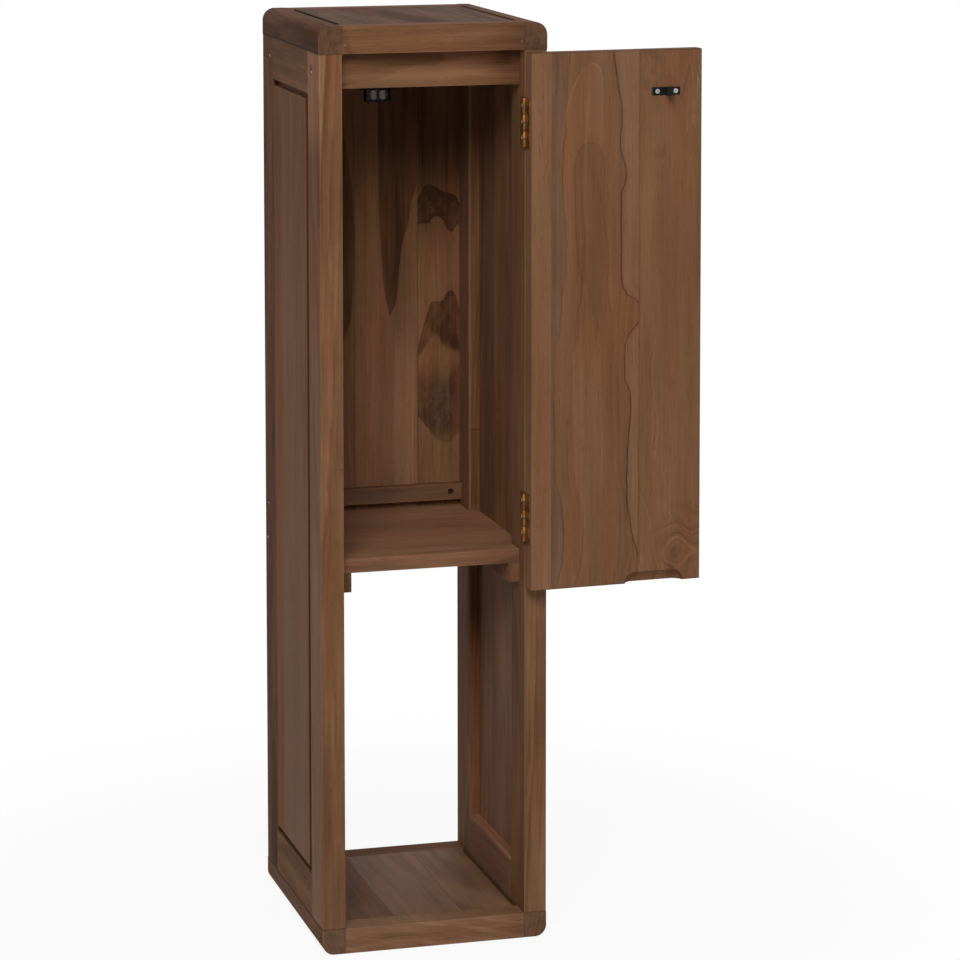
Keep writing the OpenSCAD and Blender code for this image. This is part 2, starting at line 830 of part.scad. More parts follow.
// Sliding yoke that carries the right roller
module yoke() {
    t = catch_plate_t;
    x = catch_x + roller_dx;
    difference() {
        union() {
            for (z = [arm_lo_z0, arm_hi_z0]) {
                rod_z(x, roller_y, z, z + t, 2.6);
                box([x - 2.6, roller_y, z], [x + 2.6, web_y1, z + t]);
            }
            box([catch_x + web_x0, web_y0, arm_lo_z0], [catch_x + web_x1, web_y1, arm_hi_z0 + t]);
        }
        rod_z(x, roller_y, arm_lo_z0 - 1, arm_hi_z0 + t + 1, roller_pin_r);
    }
}

// Pin of the right roller, held in the yoke and guided by the slot in the cage
module roller_pin() {
    rod_z(catch_x + roller_dx, roller_y, floor_z0 + 0.2, arm_hi_z0 + catch_plate_t, roller_pin_r);
}

// A point of the tube of a coil round an axis along X
function coil_point(k, s, r, wire, turns, len, steps, sides) =
    let (a = 360 * turns * k / steps,
         b = 360 * s / sides,
         x = len * k / steps,
         d = r + wire * cos(b))
    [x + wire * sin(b), d * cos(a), d * sin(a)];

// All points of a coil, ring by ring
function coil_points(r, wire, turns, len, steps, sides) =
    [for (k = [0 : steps]) for (s = [0 : sides - 1])
     coil_point(k, s, r, wire, turns, len, steps, sides)];

// Least distance between points of a coil that lie half a turn or more apart
function coil_gap(points, rings, sides) =
    min([for (i = [0 : len(points) - 1 - rings * sides])
         for (j = [i + rings * sides : len(points) - 1])
         norm(points[i] - points[j])]);

// Coil spring along X as one closed tube
module coil(r, wire, turns, length) {
    rings = 8;
    steps = turns * rings;
    sides = 6;
    points = coil_points(r, wire, turns, length, steps, sides);
    walls = [for (k = [0 : steps - 1]) for (s = [0 : sides - 1]) for (h = [0, 1])
             h == 0
             ? [k * sides + s, k * sides + (s + 1) % sides, (k + 1) * sides + (s + 1) % sides]
             : [k * sides + s, (k + 1) * sides + (s + 1) % sides, (k + 1) * sides + s]];
    start = [for (s = [1 : sides - 2]) [0, s + 1, s]];
    end = [for (s = [1 : sides - 2]) [steps * sides, steps * sides + s, steps * sides + s + 1]];
    echo("least gap between the turns of a catch spring", coil_gap(points, 5, sides));
    polyhedron(points = points, faces = concat(walls, start, end), convexity = 8);
}

// Spring between the right yoke and the right cheek
module catch_spring() {
    gap = cheek_x - web_x1;
    translate([catch_x + web_x1 + spring_wire_r, (web_y0 + web_y1) / 2, (arm_lo_z0 + arm_hi_z0) / 2])
        coil(spring_r, spring_wire_r, spring_turns, gap - 2 * spring_wire_r);
}

// Mirror image about the middle of the catch
module other_roller() {
    translate([catch_x, 0, 0])
        mirror([1, 0, 0])
            translate([-catch_x, 0, 0])
                children();
}

module top_left_rail() {
    color(wood_dark)
        frame_side_rail(leg_z1, top_t, top_round, true);
}

module top_right_rail() {
    color(wood_dark)
        right_side()
            frame_side_rail(leg_z1, top_t, top_round, true);
}

module top_front_rail() {
    color(wood)
        difference() {
            frame_end_rail(leg_z1, top_t, edge_round);
            front_pins(0.02);
        }
}

module top_back_rail() {
    color(wood)
        mirror([0, 1, 0])
            frame_end_rail(leg_z1, top_t, edge_round);
}

module top_panel() {
    color(wood_dark)
        frame_boards(leg_z1, top_t);
}

module base_left_rail() {
    color(wood_dark)
        frame_side_rail(0, base_t, base_round, false);
}

module base_right_rail() {
    color(wood_dark)
        right_side()
            frame_side_rail(0, base_t, base_round, false);
}

module base_front_rail() {
    color(wood)
        difference() {
            frame_end_rail(0, base_t, 1.5);
            front_pins(0.02);
        }
}

module base_back_rail() {
    color(wood)
        mirror([0, 1, 0])
            frame_end_rail(0, base_t, 1.5);
}

module floor_board_left() {
    color(wood_dark)
        between(-half_w, floor_joint_a)
            frame_boards(0, base_t);
}

module floor_board_middle() {
    color(wood)
        between(floor_joint_a, floor_joint_b)
            frame_boards(0, base_t);
}

module floor_board_right() {
    color(wood_dark)
        between(floor_joint_b, half_w)
            frame_boards(0, base_t);
}

module left_front_stile() {
    color(wood_light)
        front_stile();
}

module left_rear_stile() {
    color(wood)
        rear_stile();
}

module left_top_rail() {
    color(wood_dark)
        side_rail(leg_z1 - side_rail_h, true);
}

module left_bottom_rail() {
    color(wood_dark)
        side_rail(leg_z0, false);
}

module left_side_panel() {
    color(wood)
        side_panel();
}

module right_front_stile() {
    color(wood_light)
        difference() {
            right_side()
                front_stile();
            leaf_screw_shapes(hinge_hi, false, hole_play);
            leaf_screw_shapes(hinge_lo, false, hole_play);
        }
}

module right_rear_stile() {
    color(wood)
        right_side()
            rear_stile();
}

module right_top_rail() {
    color(wood_dark)
        right_side()
            side_rail(leg_z1 - side_rail_h, true);
}

module right_bottom_rail() {
    color(wood_dark)
        right_side()
            side_rail(leg_z0, false);
}

module right_side_panel() {
    color(wood)
        right_side()
            side_panel();
}

module header_rail() {
    color(wood)
        difference() {
            box([-inner_x, header_y0, header_z0], [inner_x, header_y1, leg_z1]);
            end_bolt_holes(header_bolt, nut_starts[0], header_y1 + e);
            catch_screw_shapes(hole_play);
        }
}

module back_top_rail() {
    color(wood_dark)
        difference() {
            box([-inner_x, back_rail_y0, header_z0], [inner_x, back_face_y, leg_z1]);
            end_bolt_holes(top_bolt, back_rail_y0 - e, nut_starts[1] + nut_l);
            back_screw_shapes(hole_play);
        }
}

module back_lower_rail() {
    color(wood_dark)
        difference() {
            box([-inner_x, low_rail_y0, low_rail_z0], [inner_x, back_face_y, low_rail_z1]);
            end_bolt_holes(low_bolt, low_rail_y0 - e, back_face_y + e);
            back_screw_shapes(hole_play);
        }
}

module shelf_bearer() {
    color(wood_dark)
        difference() {
            box([-inner_x, bearer_y0, shelf_under - bearer_h], [inner_x, back_y, shelf_under]);
            end_bolt_holes(bearer_bolt, bearer_y0 - e, nut_starts[3] + nut_l);
        }
}

module back_board_left() {
    color(wood_dark)
        back_board(-inner_x - back_rebate + 0.5, back_joint_a);
}

module back_board_middle() {
    color(wood)
        back_board(back_joint_a, back_joint_b);
}

module back_board_right() {
    color(wood_dark)
        back_board(back_joint_b, inner_x + back_rebate - 0.5);
}

module shelf_panel() {
    color(wood)
        difference() {
            translate([0, 0, shelf_under])
                linear_extrude(height = shelf_t)
                    shelf_outline();
            translate([-inner_x - 1, header_y0, shelf_z])
                rotate([0, 90, 0])
                    edge_cutter(shelf_round, 2 * inner_x + 2);
        }
}

module left_cleat() {
    color(wood_dark)
        cleat();
}

module right_cleat() {
    color(wood_dark)
        right_side()
            cleat();
}

module cleat_screws() {
    color(steel) {
        cleat_screw_shapes(0);
        right_side()
            cleat_screw_shapes(0);
    }
}

module back_screws() {
    color(steel)
        intersection() {
            back_screw_shapes(0);
            box([-half_w, 0, 0], [half_w, back_y, overall_h]);
        }
}

module side_bolts() {
    color(steel)
        for (spot = bolt_spots) {
            side_bolt(spot);
            right_side()
                side_bolt(spot);
        }
}

module barrel_nuts() {
    color(steel)
        for (i = [0 : 3]) {
            for (s = [-1, 1]) {
                difference() {
                    rod_y(s * nut_x, nut_starts[i], nut_starts[i] + nut_l, bolt_spots[i][1], nut_r);
                    rod_x(s * nut_x - nut_r - 1, s * nut_x + nut_r + 1,
                          bolt_spots[i][0], bolt_spots[i][1], bolt_r);
                    translate([s * nut_x, nut_starts[i] + 0.5, bolt_spots[i][1]])
                        cube([2 * nut_r, 1.2, 1.2], center = true);
                }
            }
        }
}

module frame_dowels() {
    color(wood_light) {
        upright_dowels(0);
        level_dowels(0);
    }
}

module rail_pins() {
    color(steel)
        front_pins(0);
}

module upper_frame_leaf() {
    color(brass)
        hinge_half(hinge_hi, false);
}

module upper_door_leaf() {
    color(brass)
        swung()
            hinge_half(hinge_hi, true);
}

module lower_frame_leaf() {
    color(brass)
        hinge_half(hinge_lo, false);
}

module lower_door_leaf() {
    color(brass)
        swung()
            hinge_half(hinge_lo, true);
}

module hinge_pins() {
    color(brass) {
        hinge_pin(hinge_hi);
        hinge_pin(hinge_lo);
    }
}

module frame_leaf_screws() {
    color(steel) {
        leaf_screws(hinge_hi, false);
        leaf_screws(hinge_lo, false);
    }
}

module door_leaf_screws() {
    color(steel)
        swung() {
            leaf_screws(hinge_hi, true);
            leaf_screws(hinge_lo, true);
        }
}

module door_hinge_board() {
    color(wood_light)
        swung()
            door_board(0, hinge_board_w);
}

module door_middle_board() {
    color(wood)
        swung()
            door_board(hinge_board_w, door_w - free_board_w);
}

module door_free_board() {
    color(wood)
        swung()
            door_board(door_w - free_board_w, door_w);
}

module strike() {
    color(black)
        swung()
            difference() {
                translate([catch_x, 0, strike_mid_z - strike_h / 2])
                    linear_extrude(height = strike_h)
                        strike_outline();
                strike_screw_shapes(0.03);
            }
}

module strike_screws() {
    color(steel)
        swung()
            difference() {
                strike_screw_shapes(0);
                for (s = [-1, 1]) {
                    translate([catch_x + s * strike_screw_span / 2,
                               door_in_y + catch_plate_t + 1.6, strike_mid_z])
                        rotate([90, 0, 0])
                            cross_slots();
                }
            }
}

module catch_body() {
    color(black)
        catch_cage();
}

module catch_screws() {
    color(steel)
        difference() {
            catch_screw_shapes(0);
            for (s = [-1, 1]) {
                translate([catch_x + s * ear_x, roller_y + 3, plate_z0 - 1.7])
                    cross_slots();
            }
        }
}

module left_roller() {
    color("gray")
        other_roller()
            roller();
}

module right_roller() {
    color("gray")
        roller();
}

module left_roller_yoke() {
    color(black)
        other_roller()
            yoke();
}

module right_roller_yoke() {
    color(black)
        yoke();
}

module left_roller_pin() {
    color(steel)
        other_roller()
            roller_pin();
}

module right_roller_pin() {
    color(steel)
        roller_pin();
}

module left_catch_spring() {
    color(steel)
        other_roller()
            catch_spring();
}

module right_catch_spring() {
    color(steel)
        catch_spring();
}

top_left_rail();
top_right_rail();
top_front_rail();
top_back_rail();
top_panel();
base_left_rail();
base_right_rail();
base_front_rail();
base_back_rail();
floor_board_left();
floor_board_middle();
floor_board_right();
left_front_stile();
left_rear_stile();
left_top_rail();
left_bottom_rail();
left_side_panel();
right_front_stile();
right_rear_stile();
right_top_rail();
right_bottom_rail();
right_side_panel();
header_rail();
back_top_rail();
back_lower_rail();
shelf_bearer();
back_board_left();
back_board_middle();
back_board_right();
shelf_panel();
left_cleat();
right_cleat();
cleat_screws();
back_screws();
side_bolts();
barrel_nuts();
frame_dowels();
rail_pins();
upper_frame_leaf();
upper_door_leaf();
lower_frame_leaf();
lower_door_leaf();
hinge_pins();
frame_leaf_screws();
door_leaf_screws();
door_hinge_board();
door_middle_board();
door_free_board();
strike();
strike_screws();
catch_body();
catch_screws();
left_roller();
right_roller();
left_roller_yoke();
right_roller_yoke();
left_roller_pin();
right_roller_pin();
left_catch_spring();
right_catch_spring();
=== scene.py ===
"""The finish of a tall narrow teak bathroom cabinet: stained wood, brass hinges and a roller catch."""

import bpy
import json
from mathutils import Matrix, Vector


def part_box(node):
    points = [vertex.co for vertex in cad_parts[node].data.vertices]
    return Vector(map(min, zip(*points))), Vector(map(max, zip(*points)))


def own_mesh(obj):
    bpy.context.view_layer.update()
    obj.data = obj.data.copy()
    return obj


bl_info = {
    "name": "Teak Cabinet Finish",
    "version": (1, 1, 0),
    "blender": (4, 5, 0),
    "location": "View3D > Sidebar > Cabinet",
    "description": "Dresses the boards and fittings of a teak cabinet and lights it",
    "category": "Object",
}

import json
import math
from functools import cache, partialmethod

import bpy
from mathutils import Vector

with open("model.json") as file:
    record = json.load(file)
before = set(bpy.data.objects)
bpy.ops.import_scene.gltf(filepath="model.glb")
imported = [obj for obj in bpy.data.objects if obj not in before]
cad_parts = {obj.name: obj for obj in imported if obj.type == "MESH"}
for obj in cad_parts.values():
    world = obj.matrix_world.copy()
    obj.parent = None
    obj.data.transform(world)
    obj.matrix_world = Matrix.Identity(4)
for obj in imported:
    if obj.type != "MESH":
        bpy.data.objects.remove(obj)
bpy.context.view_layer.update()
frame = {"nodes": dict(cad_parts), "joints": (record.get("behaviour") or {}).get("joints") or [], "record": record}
NODES = frame["nodes"]
JOINTS = frame["record"]["behaviour"]["joints"]
HINGE = next(j for j in frame["joints"] if j["name"] == "door_hinge")
DOOR_AXIS = Vector(HINGE["pos_m"])
DOOR_SHUT = math.radians(HINGE["range_deg"][0])
X, Y, Z = 0, 1, 2
MM = 0.001
WHITE = (1.0, 1.0, 1.0, 1.0)


# Colours, sizes and powers that a user would change

class TeakSettings(bpy.types.PropertyGroup):
    light: bpy.props.FloatVectorProperty(
        name="Light wood", description="Colour of the pale early wood",
        subtype="COLOR", size=3, min=0.0, max=1.0, default=(0.262, 0.134, 0.070))
    mid: bpy.props.FloatVectorProperty(
        name="Middle wood", description="Colour that most of a board has",
        subtype="COLOR", size=3, min=0.0, max=1.0, default=(0.160, 0.073, 0.034))
    dark: bpy.props.FloatVectorProperty(
        name="Dark wood", description="Colour of the dark rings and streaks",
        subtype="COLOR", size=3, min=0.0, max=1.0, default=(0.050, 0.020, 0.009))
    grey: bpy.props.FloatVectorProperty(
        name="Weathered wood", description="Grey purple tint of the weathered patches",
        subtype="COLOR", size=3, min=0.0, max=1.0, default=(0.172, 0.094, 0.056))
    roughness: bpy.props.FloatProperty(
        name="Roughness", description="Roughness of the waxed wood",
        subtype="FACTOR", min=0.0, max=1.0, default=0.74)
    edge_wear: bpy.props.FloatProperty(
        name="Edge wear", description="How pale the rubbed edges of the boards are",
        subtype="FACTOR", min=0.0, max=1.0, default=0.30)
    edge_round: bpy.props.FloatProperty(
        name="Edge rounding", description="Rounding of the sanded edges of a board",
        subtype="DISTANCE", unit="LENGTH", min=0.0001, max=0.003, default=0.0006)


class FittingSettings(bpy.types.PropertyGroup):
    brass: bpy.props.FloatVectorProperty(
        name="Brass", description="Colour of the hinge leaves on the frame",
        subtype="COLOR", size=3, min=0.0, max=1.0, default=(0.38, 0.160, 0.030))
    old_brass: bpy.props.FloatVectorProperty(
        name="Tarnished brass", description="Colour of the hinge leaves on the door",
        subtype="COLOR", size=3, min=0.0, max=1.0, default=(0.30, 0.120, 0.022))
    zinc: bpy.props.FloatVectorProperty(
        name="Zinc", description="Colour of the plated screws and bolts",
        subtype="COLOR", size=3, min=0.0, max=1.0, default=(0.40, 0.41, 0.43))
    # Whiter than the zinc: painted highlights on the frame-leaf screws.
    bright: bpy.props.FloatVectorProperty(
        name="Bright screws", description="Colour of the screws in the frame leaves",
        subtype="COLOR", size=3, min=0.0, max=1.0, default=(0.62, 0.58, 0.52))
    # Near-black: partly a dark steel finish, partly painted shade of the holes the barrel nuts sit in.
    steel: bpy.props.FloatVectorProperty(
        name="Dull steel", description="Colour of the darkened screws and nuts",
        subtype="COLOR", size=3, min=0.0, max=1.0, default=(0.022, 0.014, 0.012))
    black: bpy.props.FloatVectorProperty(
        name="Black", description="Colour of the coated catch and strike",
        subtype="COLOR", size=3, min=0.0, max=1.0, default=(0.006, 0.0055, 0.0055))
    nylon: bpy.props.FloatVectorProperty(
        name="Nylon", description="Colour of the grey catch rollers",
        subtype="COLOR", size=3, min=0.0, max=1.0, default=(0.055, 0.048, 0.048))
    beech: bpy.props.FloatVectorProperty(
        name="Beech", description="Colour of the dowels",
        subtype="COLOR", size=3, min=0.0, max=1.0, default=(0.42, 0.27, 0.14))
    tan: bpy.props.FloatVectorProperty(
        name="Tan", description="Colour of the small pins in the front rails",
        subtype="COLOR", size=3, min=0.0, max=1.0, default=(0.17, 0.10, 0.06))


class StageSettings(bpy.types.PropertyGroup):
    camera_place: bpy.props.FloatVectorProperty(
        name="Camera", description="Where the camera stands",
        subtype="TRANSLATION", unit="LENGTH", size=3, default=(-1.2110, -4.7116, 1.5785))
    camera_turn: bpy.props.FloatVectorProperty(
        name="Camera turn", description="Pitch, roll and heading of the camera",
        subtype="EULER", unit="ROTATION", size=3,
        default=(math.radians(84.32), math.radians(0.03), math.radians(-15.628)))
    lens: bpy.props.FloatProperty(
        name="Lens", description="Focal length of the camera in millimetres",
        min=20.0, max=300.0, default=139.68)
    rise: bpy.props.FloatProperty(
        name="Rise", description="Vertical shift that keeps the uprights upright",
        min=-1.0, max=1.0, default=-0.4014)
    key_power: bpy.props.FloatProperty(
        name="Key light", description="Power of the large light in front",
        subtype="POWER", unit="POWER", min=0.0, default=150.0)
    side_power: bpy.props.FloatProperty(
        name="Side light", description="Power of the light at the left",
        subtype="POWER", unit="POWER", min=0.0, default=10.0)
    back_power: bpy.props.FloatProperty(
        name="Back light", description="Power of the soft light behind",
        subtype="POWER", unit="POWER", min=0.0, default=25.0)
    sky: bpy.props.FloatProperty(
        name="Surround", description="Strength of the even light from all round",
        min=0.0, max=2.0, default=0.22)


# Node trees: numbers over a surface, and the nodes that make them

def set_all(thing, **settings):
    """Sets several properties of a node, modifier, lamp or camera, and returns it."""
    for name, value in settings.items():
        setattr(thing, name, value)
    return thing


def feed(tree, target, value):
    """Links a field or an output socket to an input, or sets a plain value on it."""
    if isinstance(value, Field):
        value = value.socket
    if isinstance(value, bpy.types.NodeSocket):
        tree.links.new(value, target)
    else:
        target.default_value = value


def add_node(tree, kind, inputs=(), **settings):
    """A new shader node with its settings, and with its inputs fed by name or number."""
    node = set_all(tree.nodes.new("ShaderNode" + kind), **settings)
    for name, value in dict(inputs).items():
        feed(tree, node.inputs[name], value)
    return node


class Field:
    """A number that varies over a surface, with the usual sums as nodes of its tree."""

    def __init__(self, tree, socket):
        self.tree = tree
        self.socket = socket

    def sum(self, operation, *others, clamp=False):
        node = add_node(self.tree, "Math", enumerate((self,) + others), operation=operation, use_clamp=clamp)
        return Field(self.tree, node.outputs[0])

    __add__ = __radd__ = partialmethod(sum, "ADD")
    __sub__ = partialmethod(sum, "SUBTRACT")
    __mul__ = __rmul__ = partialmethod(sum, "MULTIPLY")
    __truediv__ = partialmethod(sum, "DIVIDE")
    __abs__ = partialmethod(sum, "ABSOLUTE")
    power = partialmethod(sum, "POWER")
    part = partialmethod(sum, "FRACT")
    whole = partialmethod(sum, "FLOOR")
    least = partialmethod(sum, "MINIMUM")
    most = partialmethod(sum, "MAXIMUM")

    def __rsub__(self, other):
        return self * -1.0 + other

    def held(self):
        """The number held between 0 and 1."""
        return self.sum("ADD", 0.0, clamp=True)

    def step(self, low, high, out_low=0.0, out_high=1.0):
        """A smooth step between two levels; low may be above high, for a falling step."""
        node = add_node(self.tree, "MapRange", {
            "Value": self, "From Min": low, "From Max": high, "To Min": out_low, "To Max": out_high},
            interpolation_type="SMOOTHSTEP")
        return Field(self.tree, node.outputs[0])

    def near(self, place, reach):
        """1 at a place, falling to 0 at a reach to either side of it."""
        return abs(self - place).step(reach, 0.0)

    def between(self, low, high, soft):
        """1 between two levels, with soft ends."""
        return (self - low).step(-soft, soft) * (high - self).step(-soft, soft)

    def curve(self, points):
        """A smooth curve through (number, result) pairs."""
        points = sorted(points)
        first, last = points[0][0], points[-1][0]
        low, high = min(p[1] for p in points), max(p[1] for p in points)
        node = add_node(self.tree, "FloatCurve", {"Value": ((self - first) / (last - first)).held()})
        line = node.mapping.curves[0]
        scaled = [((a - first) / (last - first), (b - low) / (high - low)) for a, b in points]
        line.points[0].location, line.points[-1].location = scaled[0], scaled[-1]
        for spot in scaled[1:-1]:
            line.points.new(*spot)
        node.mapping.update()
        return Field(self.tree, node.outputs[0]) * (high - low) + low


def total(fields):
    """The sum of a list of fields."""
    return sum(fields[1:], fields[0])


def distance(across, along):
    """How far a point lies from where both numbers are 0."""
    return (across * across + along * along).power(0.5)


def split(tree, vector):
    return [Field(tree, output) for output in add_node(tree, "SeparateXYZ", {0: vector}).outputs]


def join(tree, *parts):
    return add_node(tree, "CombineXYZ", enumerate(parts)).outputs[0]


def noise_node(tree, point, detail, roughness):
    return add_node(tree, "TexNoise", {
        "Vector": join(tree, *point), "Scale": 1.0, "Detail": detail, "Roughness": roughness},
        noise_dimensions="3D")


def noise(tree, x, y, z, detail=2.0, roughness=0.5):
    """A soft random number between 0 and 1 at a point."""
    return Field(tree, noise_node(tree, (x, y, z), detail, roughness).outputs["Fac"])


def noises(tree, x, y, z, detail=2.0):
    """Three random numbers round 0 at a point."""
    return [part - 0.5 for part in split(tree, noise_node(tree, (x, y, z), detail, 0.5).outputs["Color"])]


def chance(tree, value):
    """A random number between 0 and 1 for every whole number."""
    return Field(tree, add_node(tree, "TexWhiteNoise", {"W": value}, noise_dimensions="1D").outputs["Value"])


def mix(tree, factor, a, b, blend="MIX"):
    """Colour b over colour a, by a factor between 0 and 1."""
    return add_node(tree, "Mix", {0: factor, 6: a, 7: b},
                    data_type="RGBA", blend_type=blend, clamp_factor=True).outputs[2]


def dim(tree, shade, factor):
    """A colour made darker or lighter by a factor."""
    return add_node(tree, "VectorMath", {0: shade, "Scale": factor}, operation="SCALE").outputs[0]


def rgba(shade, by=(1.0, 1.0, 1.0)):
    """A colour of four numbers, each part of it times its own factor."""
    return tuple(c * b for c, b in zip(shade, by)) + (1.0,)


def by_name(tree, sockets):
    """Sockets by their names, with each number as a field."""
    return {item.name: Field(tree, item) if item.type == "VALUE" else item for item in sockets}


def start_group(name, inputs, outputs):
    """A new group of shader nodes. Its inputs are numbers, colours of four numbers, or points, which are None.
    Returns its tree, its inputs by name and its output sockets."""
    tree = bpy.data.node_groups.new(name, "ShaderNodeTree")
    for label, default in inputs.items():
        kind = "Vector" if default is None else "Color" if isinstance(default, tuple) else "Float"
        item = tree.interface.new_socket(name=label, in_out="INPUT", socket_type="NodeSocket" + kind)
        if default is not None:
            item.default_value = default
    for label in outputs:
        kind = "Color" if label == "Color" else "Float"
        tree.interface.new_socket(name=label, in_out="OUTPUT", socket_type="NodeSocket" + kind)
    source = tree.nodes.new("NodeGroupInput").outputs
    return tree, by_name(tree, source), tree.nodes.new("NodeGroupOutput").inputs


def place_group(tree, group, values):
    return by_name(tree, add_node(tree, "Group", values, node_tree=group).outputs)


@cache
def teak_group():
    """Solid teak from a point in the board: rings, mottling, weathering, fibres, pores and fine scratches."""
    tree, put, out = start_group(
        "Teak Figure",
        {"Point": None, "Seed": 0.0, "Heart Across": 0.0, "Heart Through": 0.08, "Lean": 0.05, "Ring Width": 0.008,
         "Rings": 0.3, "Wander": 0.012, "Growth": 0.0, "Own Growth": 0.0, "Tone": 0.5, "Mottle": 0.5,
         "Redness": 0.5, "Weathered": 0.2, "Scratches": 0.3, "Dark Figure": 0.0, "Pale Figure": 0.0,
         "Grey Figure": 0.0, "Red Figure": 0.0, "Light Wood": (0.26, 0.13, 0.07, 1.0),
         "Middle Wood": (0.16, 0.07, 0.03, 1.0), "Dark Wood": (0.05, 0.02, 0.01, 1.0),
         "Grey Wood": (0.13, 0.07, 0.05, 1.0), "Wax Roughness": 0.55},
        ("Color", "Roughness", "Height"))
    x, y, z = split(tree, put["Point"])
    sx, sy, sz = x + put["Seed"] * 3.7, y + put["Seed"] * 1.4, z + put["Seed"] * 7.1

    def grain(across, along, detail=2.0, roughness=0.5):
        return noise(tree, sx * across, sy * across, sz * along, detail, roughness)

    # Slow bends of the trunk, small waves of the grain, and the rings round the heart
    slow = noises(tree, sx * 3.0, sy * 3.0, sz * 2.2)
    quick = noises(tree, sx * 17.0, sy * 17.0, sz * 9.0)
    gx, gy, gz = [a + b * (put["Wander"] * 3.2) + c * (put["Wander"] * 0.5)
                  for a, b, c in zip((x, y, z), slow, quick)]
    radius = distance(gx - put["Heart Across"], gy - gz * put["Lean"] - put["Heart Through"])
    own = put["Growth"] + quick[0] * (put["Wander"] * 0.5)
    radius = radius * (1.0 - put["Own Growth"]) + own * put["Own Growth"]
    count = radius / put["Ring Width"]
    ring, year = count.part(), count.whole() + put["Seed"]
    line = ring.step(0.15, 0.95) * ring.step(1.0, 0.955) * chance(tree, year).power(1.5) * put["Rings"]
    zone = (chance(tree, year + 0.37) - 0.5) * put["Rings"] * 0.35

    # Tone: soft mottling at three sizes, less where it's dark and more where it's pale
    tone = put["Tone"] + zone - line * 0.5
    for across, along, detail, roughness, strength in (
            (22.0, 4.5, 3.0, 0.55, 1.0), (85.0, 4.5, 3.0, 0.6, 0.9), (330.0, 8.0, 2.0, 0.6, 0.55)):
        tone = tone + (grain(across, along, detail, roughness) - 0.5) * put["Mottle"] * strength
    # The figure inputs also carry painted shade, painted light and painted sheen that some boards add over their wood
    # figure.
    tone = (tone + put["Pale Figure"] * 0.5 - put["Dark Figure"] * 0.5).held()
    wood = mix(tree, tone * 2.0, put["Dark Wood"], put["Middle Wood"])
    wood = mix(tree, tone * 2.0 - 1.0, wood, put["Light Wood"])

    # Hue: reddish and olive patches, and a grey purple where it has weathered
    hue = grain(34.0, 3.5, 3.0, 0.55)
    reddish, olive = (1.10, 0.91, 0.86, 1.0), (0.95, 1.04, 0.90, 1.0)
    wood = mix(tree, hue.step(0.48, 0.66) * put["Redness"] + put["Red Figure"], wood, reddish, "MULTIPLY")
    wood = mix(tree, hue.step(0.52, 0.34) * put["Redness"], wood, olive, "MULTIPLY")
    patch = grain(16.0, 4.0, 3.0, 0.6).step(0.46, 0.66)
    grey = dim(tree, put["Grey Wood"], tone * 1.1 + 0.45)
    streak = grain(170.0, 5.0, 2.0, 0.6).step(0.30, 0.62, 0.35, 1.0)
    wood = mix(tree, (patch * put["Weathered"] + put["Grey Figure"] * streak).held(), wood, grey)

    # Fibres, pores and fine pale scratches
    fibre = grain(620.0, 14.0, 2.0, 0.6)
    pores = grain(820.0, 55.0, 1.0, 0.5).step(0.62, 0.76)
    wood = mix(tree, pores * 0.35, wood, put["Dark Wood"])
    hair = grain(60.0, 5.0, 3.0, 0.6).near(0.5, 0.006) * grain(30.0, 9.0).step(0.5, 0.62) * put["Scratches"]
    wood = mix(tree, hair, wood, put["Light Wood"])
    feed(tree, out["Color"], dim(tree, wood, fibre * 0.26 + 0.87))
    feed(tree, out["Roughness"], (put["Wax Roughness"] + (fibre - 0.5) * 0.3 - tone * 0.06 + 0.03).held())
    feed(tree, out["Height"], fibre * 0.4 - pores * 0.7 - line * 0.4 - put["Dark Figure"] * 0.6)
    return tree


@cache
def edge_group():
    """A board's rubbed long edges, the seam round its ends and its end grain, from its half size."""
    tree, put, out = start_group(
        "Board Edges", {"Point": None, "Half Size": None, "Width": 0.003, "Seed": 0.0},
        ("Edge", "Seam", "Joint", "End"))
    x, y, z = split(tree, put["Point"])
    a, b, c = [abs(half - abs(place)) for half, place in zip(split(tree, put["Half Size"]), (x, y, z))]
    corner, butt = a.most(b), c.most(a.least(b))
    seed = put["Seed"]
    rubbed = noise(tree, (x + seed) * 60.0, (y + seed) * 60.0, (z + seed) * 30.0, 3.0, 0.6)
    edge = (1.0 - corner / (put["Width"] * (rubbed * 2.4 - 0.4).most(0.05))).held()
    feed(tree, out["Edge"], edge.power(1.3))
    feed(tree, out["Seam"], butt.step(0.0016, 0.0006))
    feed(tree, out["Joint"], corner.step(0.0014, 0.0005))
    feed(tree, out["End"], c.step(0.0012, 0.0004))
    return tree


@cache
def vein_group():
    """A dark line where a signed distance is 0, uneven in width, with a soft shade on the side above 0."""
    tree, put, out = start_group(
        "Wandering Vein", {"Side": 0.0, "Along": 0.0, "Line Width": 0.0012, "Fade Width": 0.012, "Seed": 0.0},
        ("Line", "Fade"))
    jitter = noise(tree, put["Seed"], put["Seed"], put["Along"] * 60.0, 3.0, 0.55)
    side = put["Side"] + (jitter - 0.5) * 0.004
    width = noise(tree, put["Seed"], 0.0, put["Along"] * 21.0) * put["Line Width"] * 2.6
    feed(tree, out["Line"], abs(side).step(width, 0.0))
    fade = (1.0 - side / put["Fade Width"]).held()
    feed(tree, out["Fade"], fade * fade * side.step(-0.0006, 0.0006))
    return tree


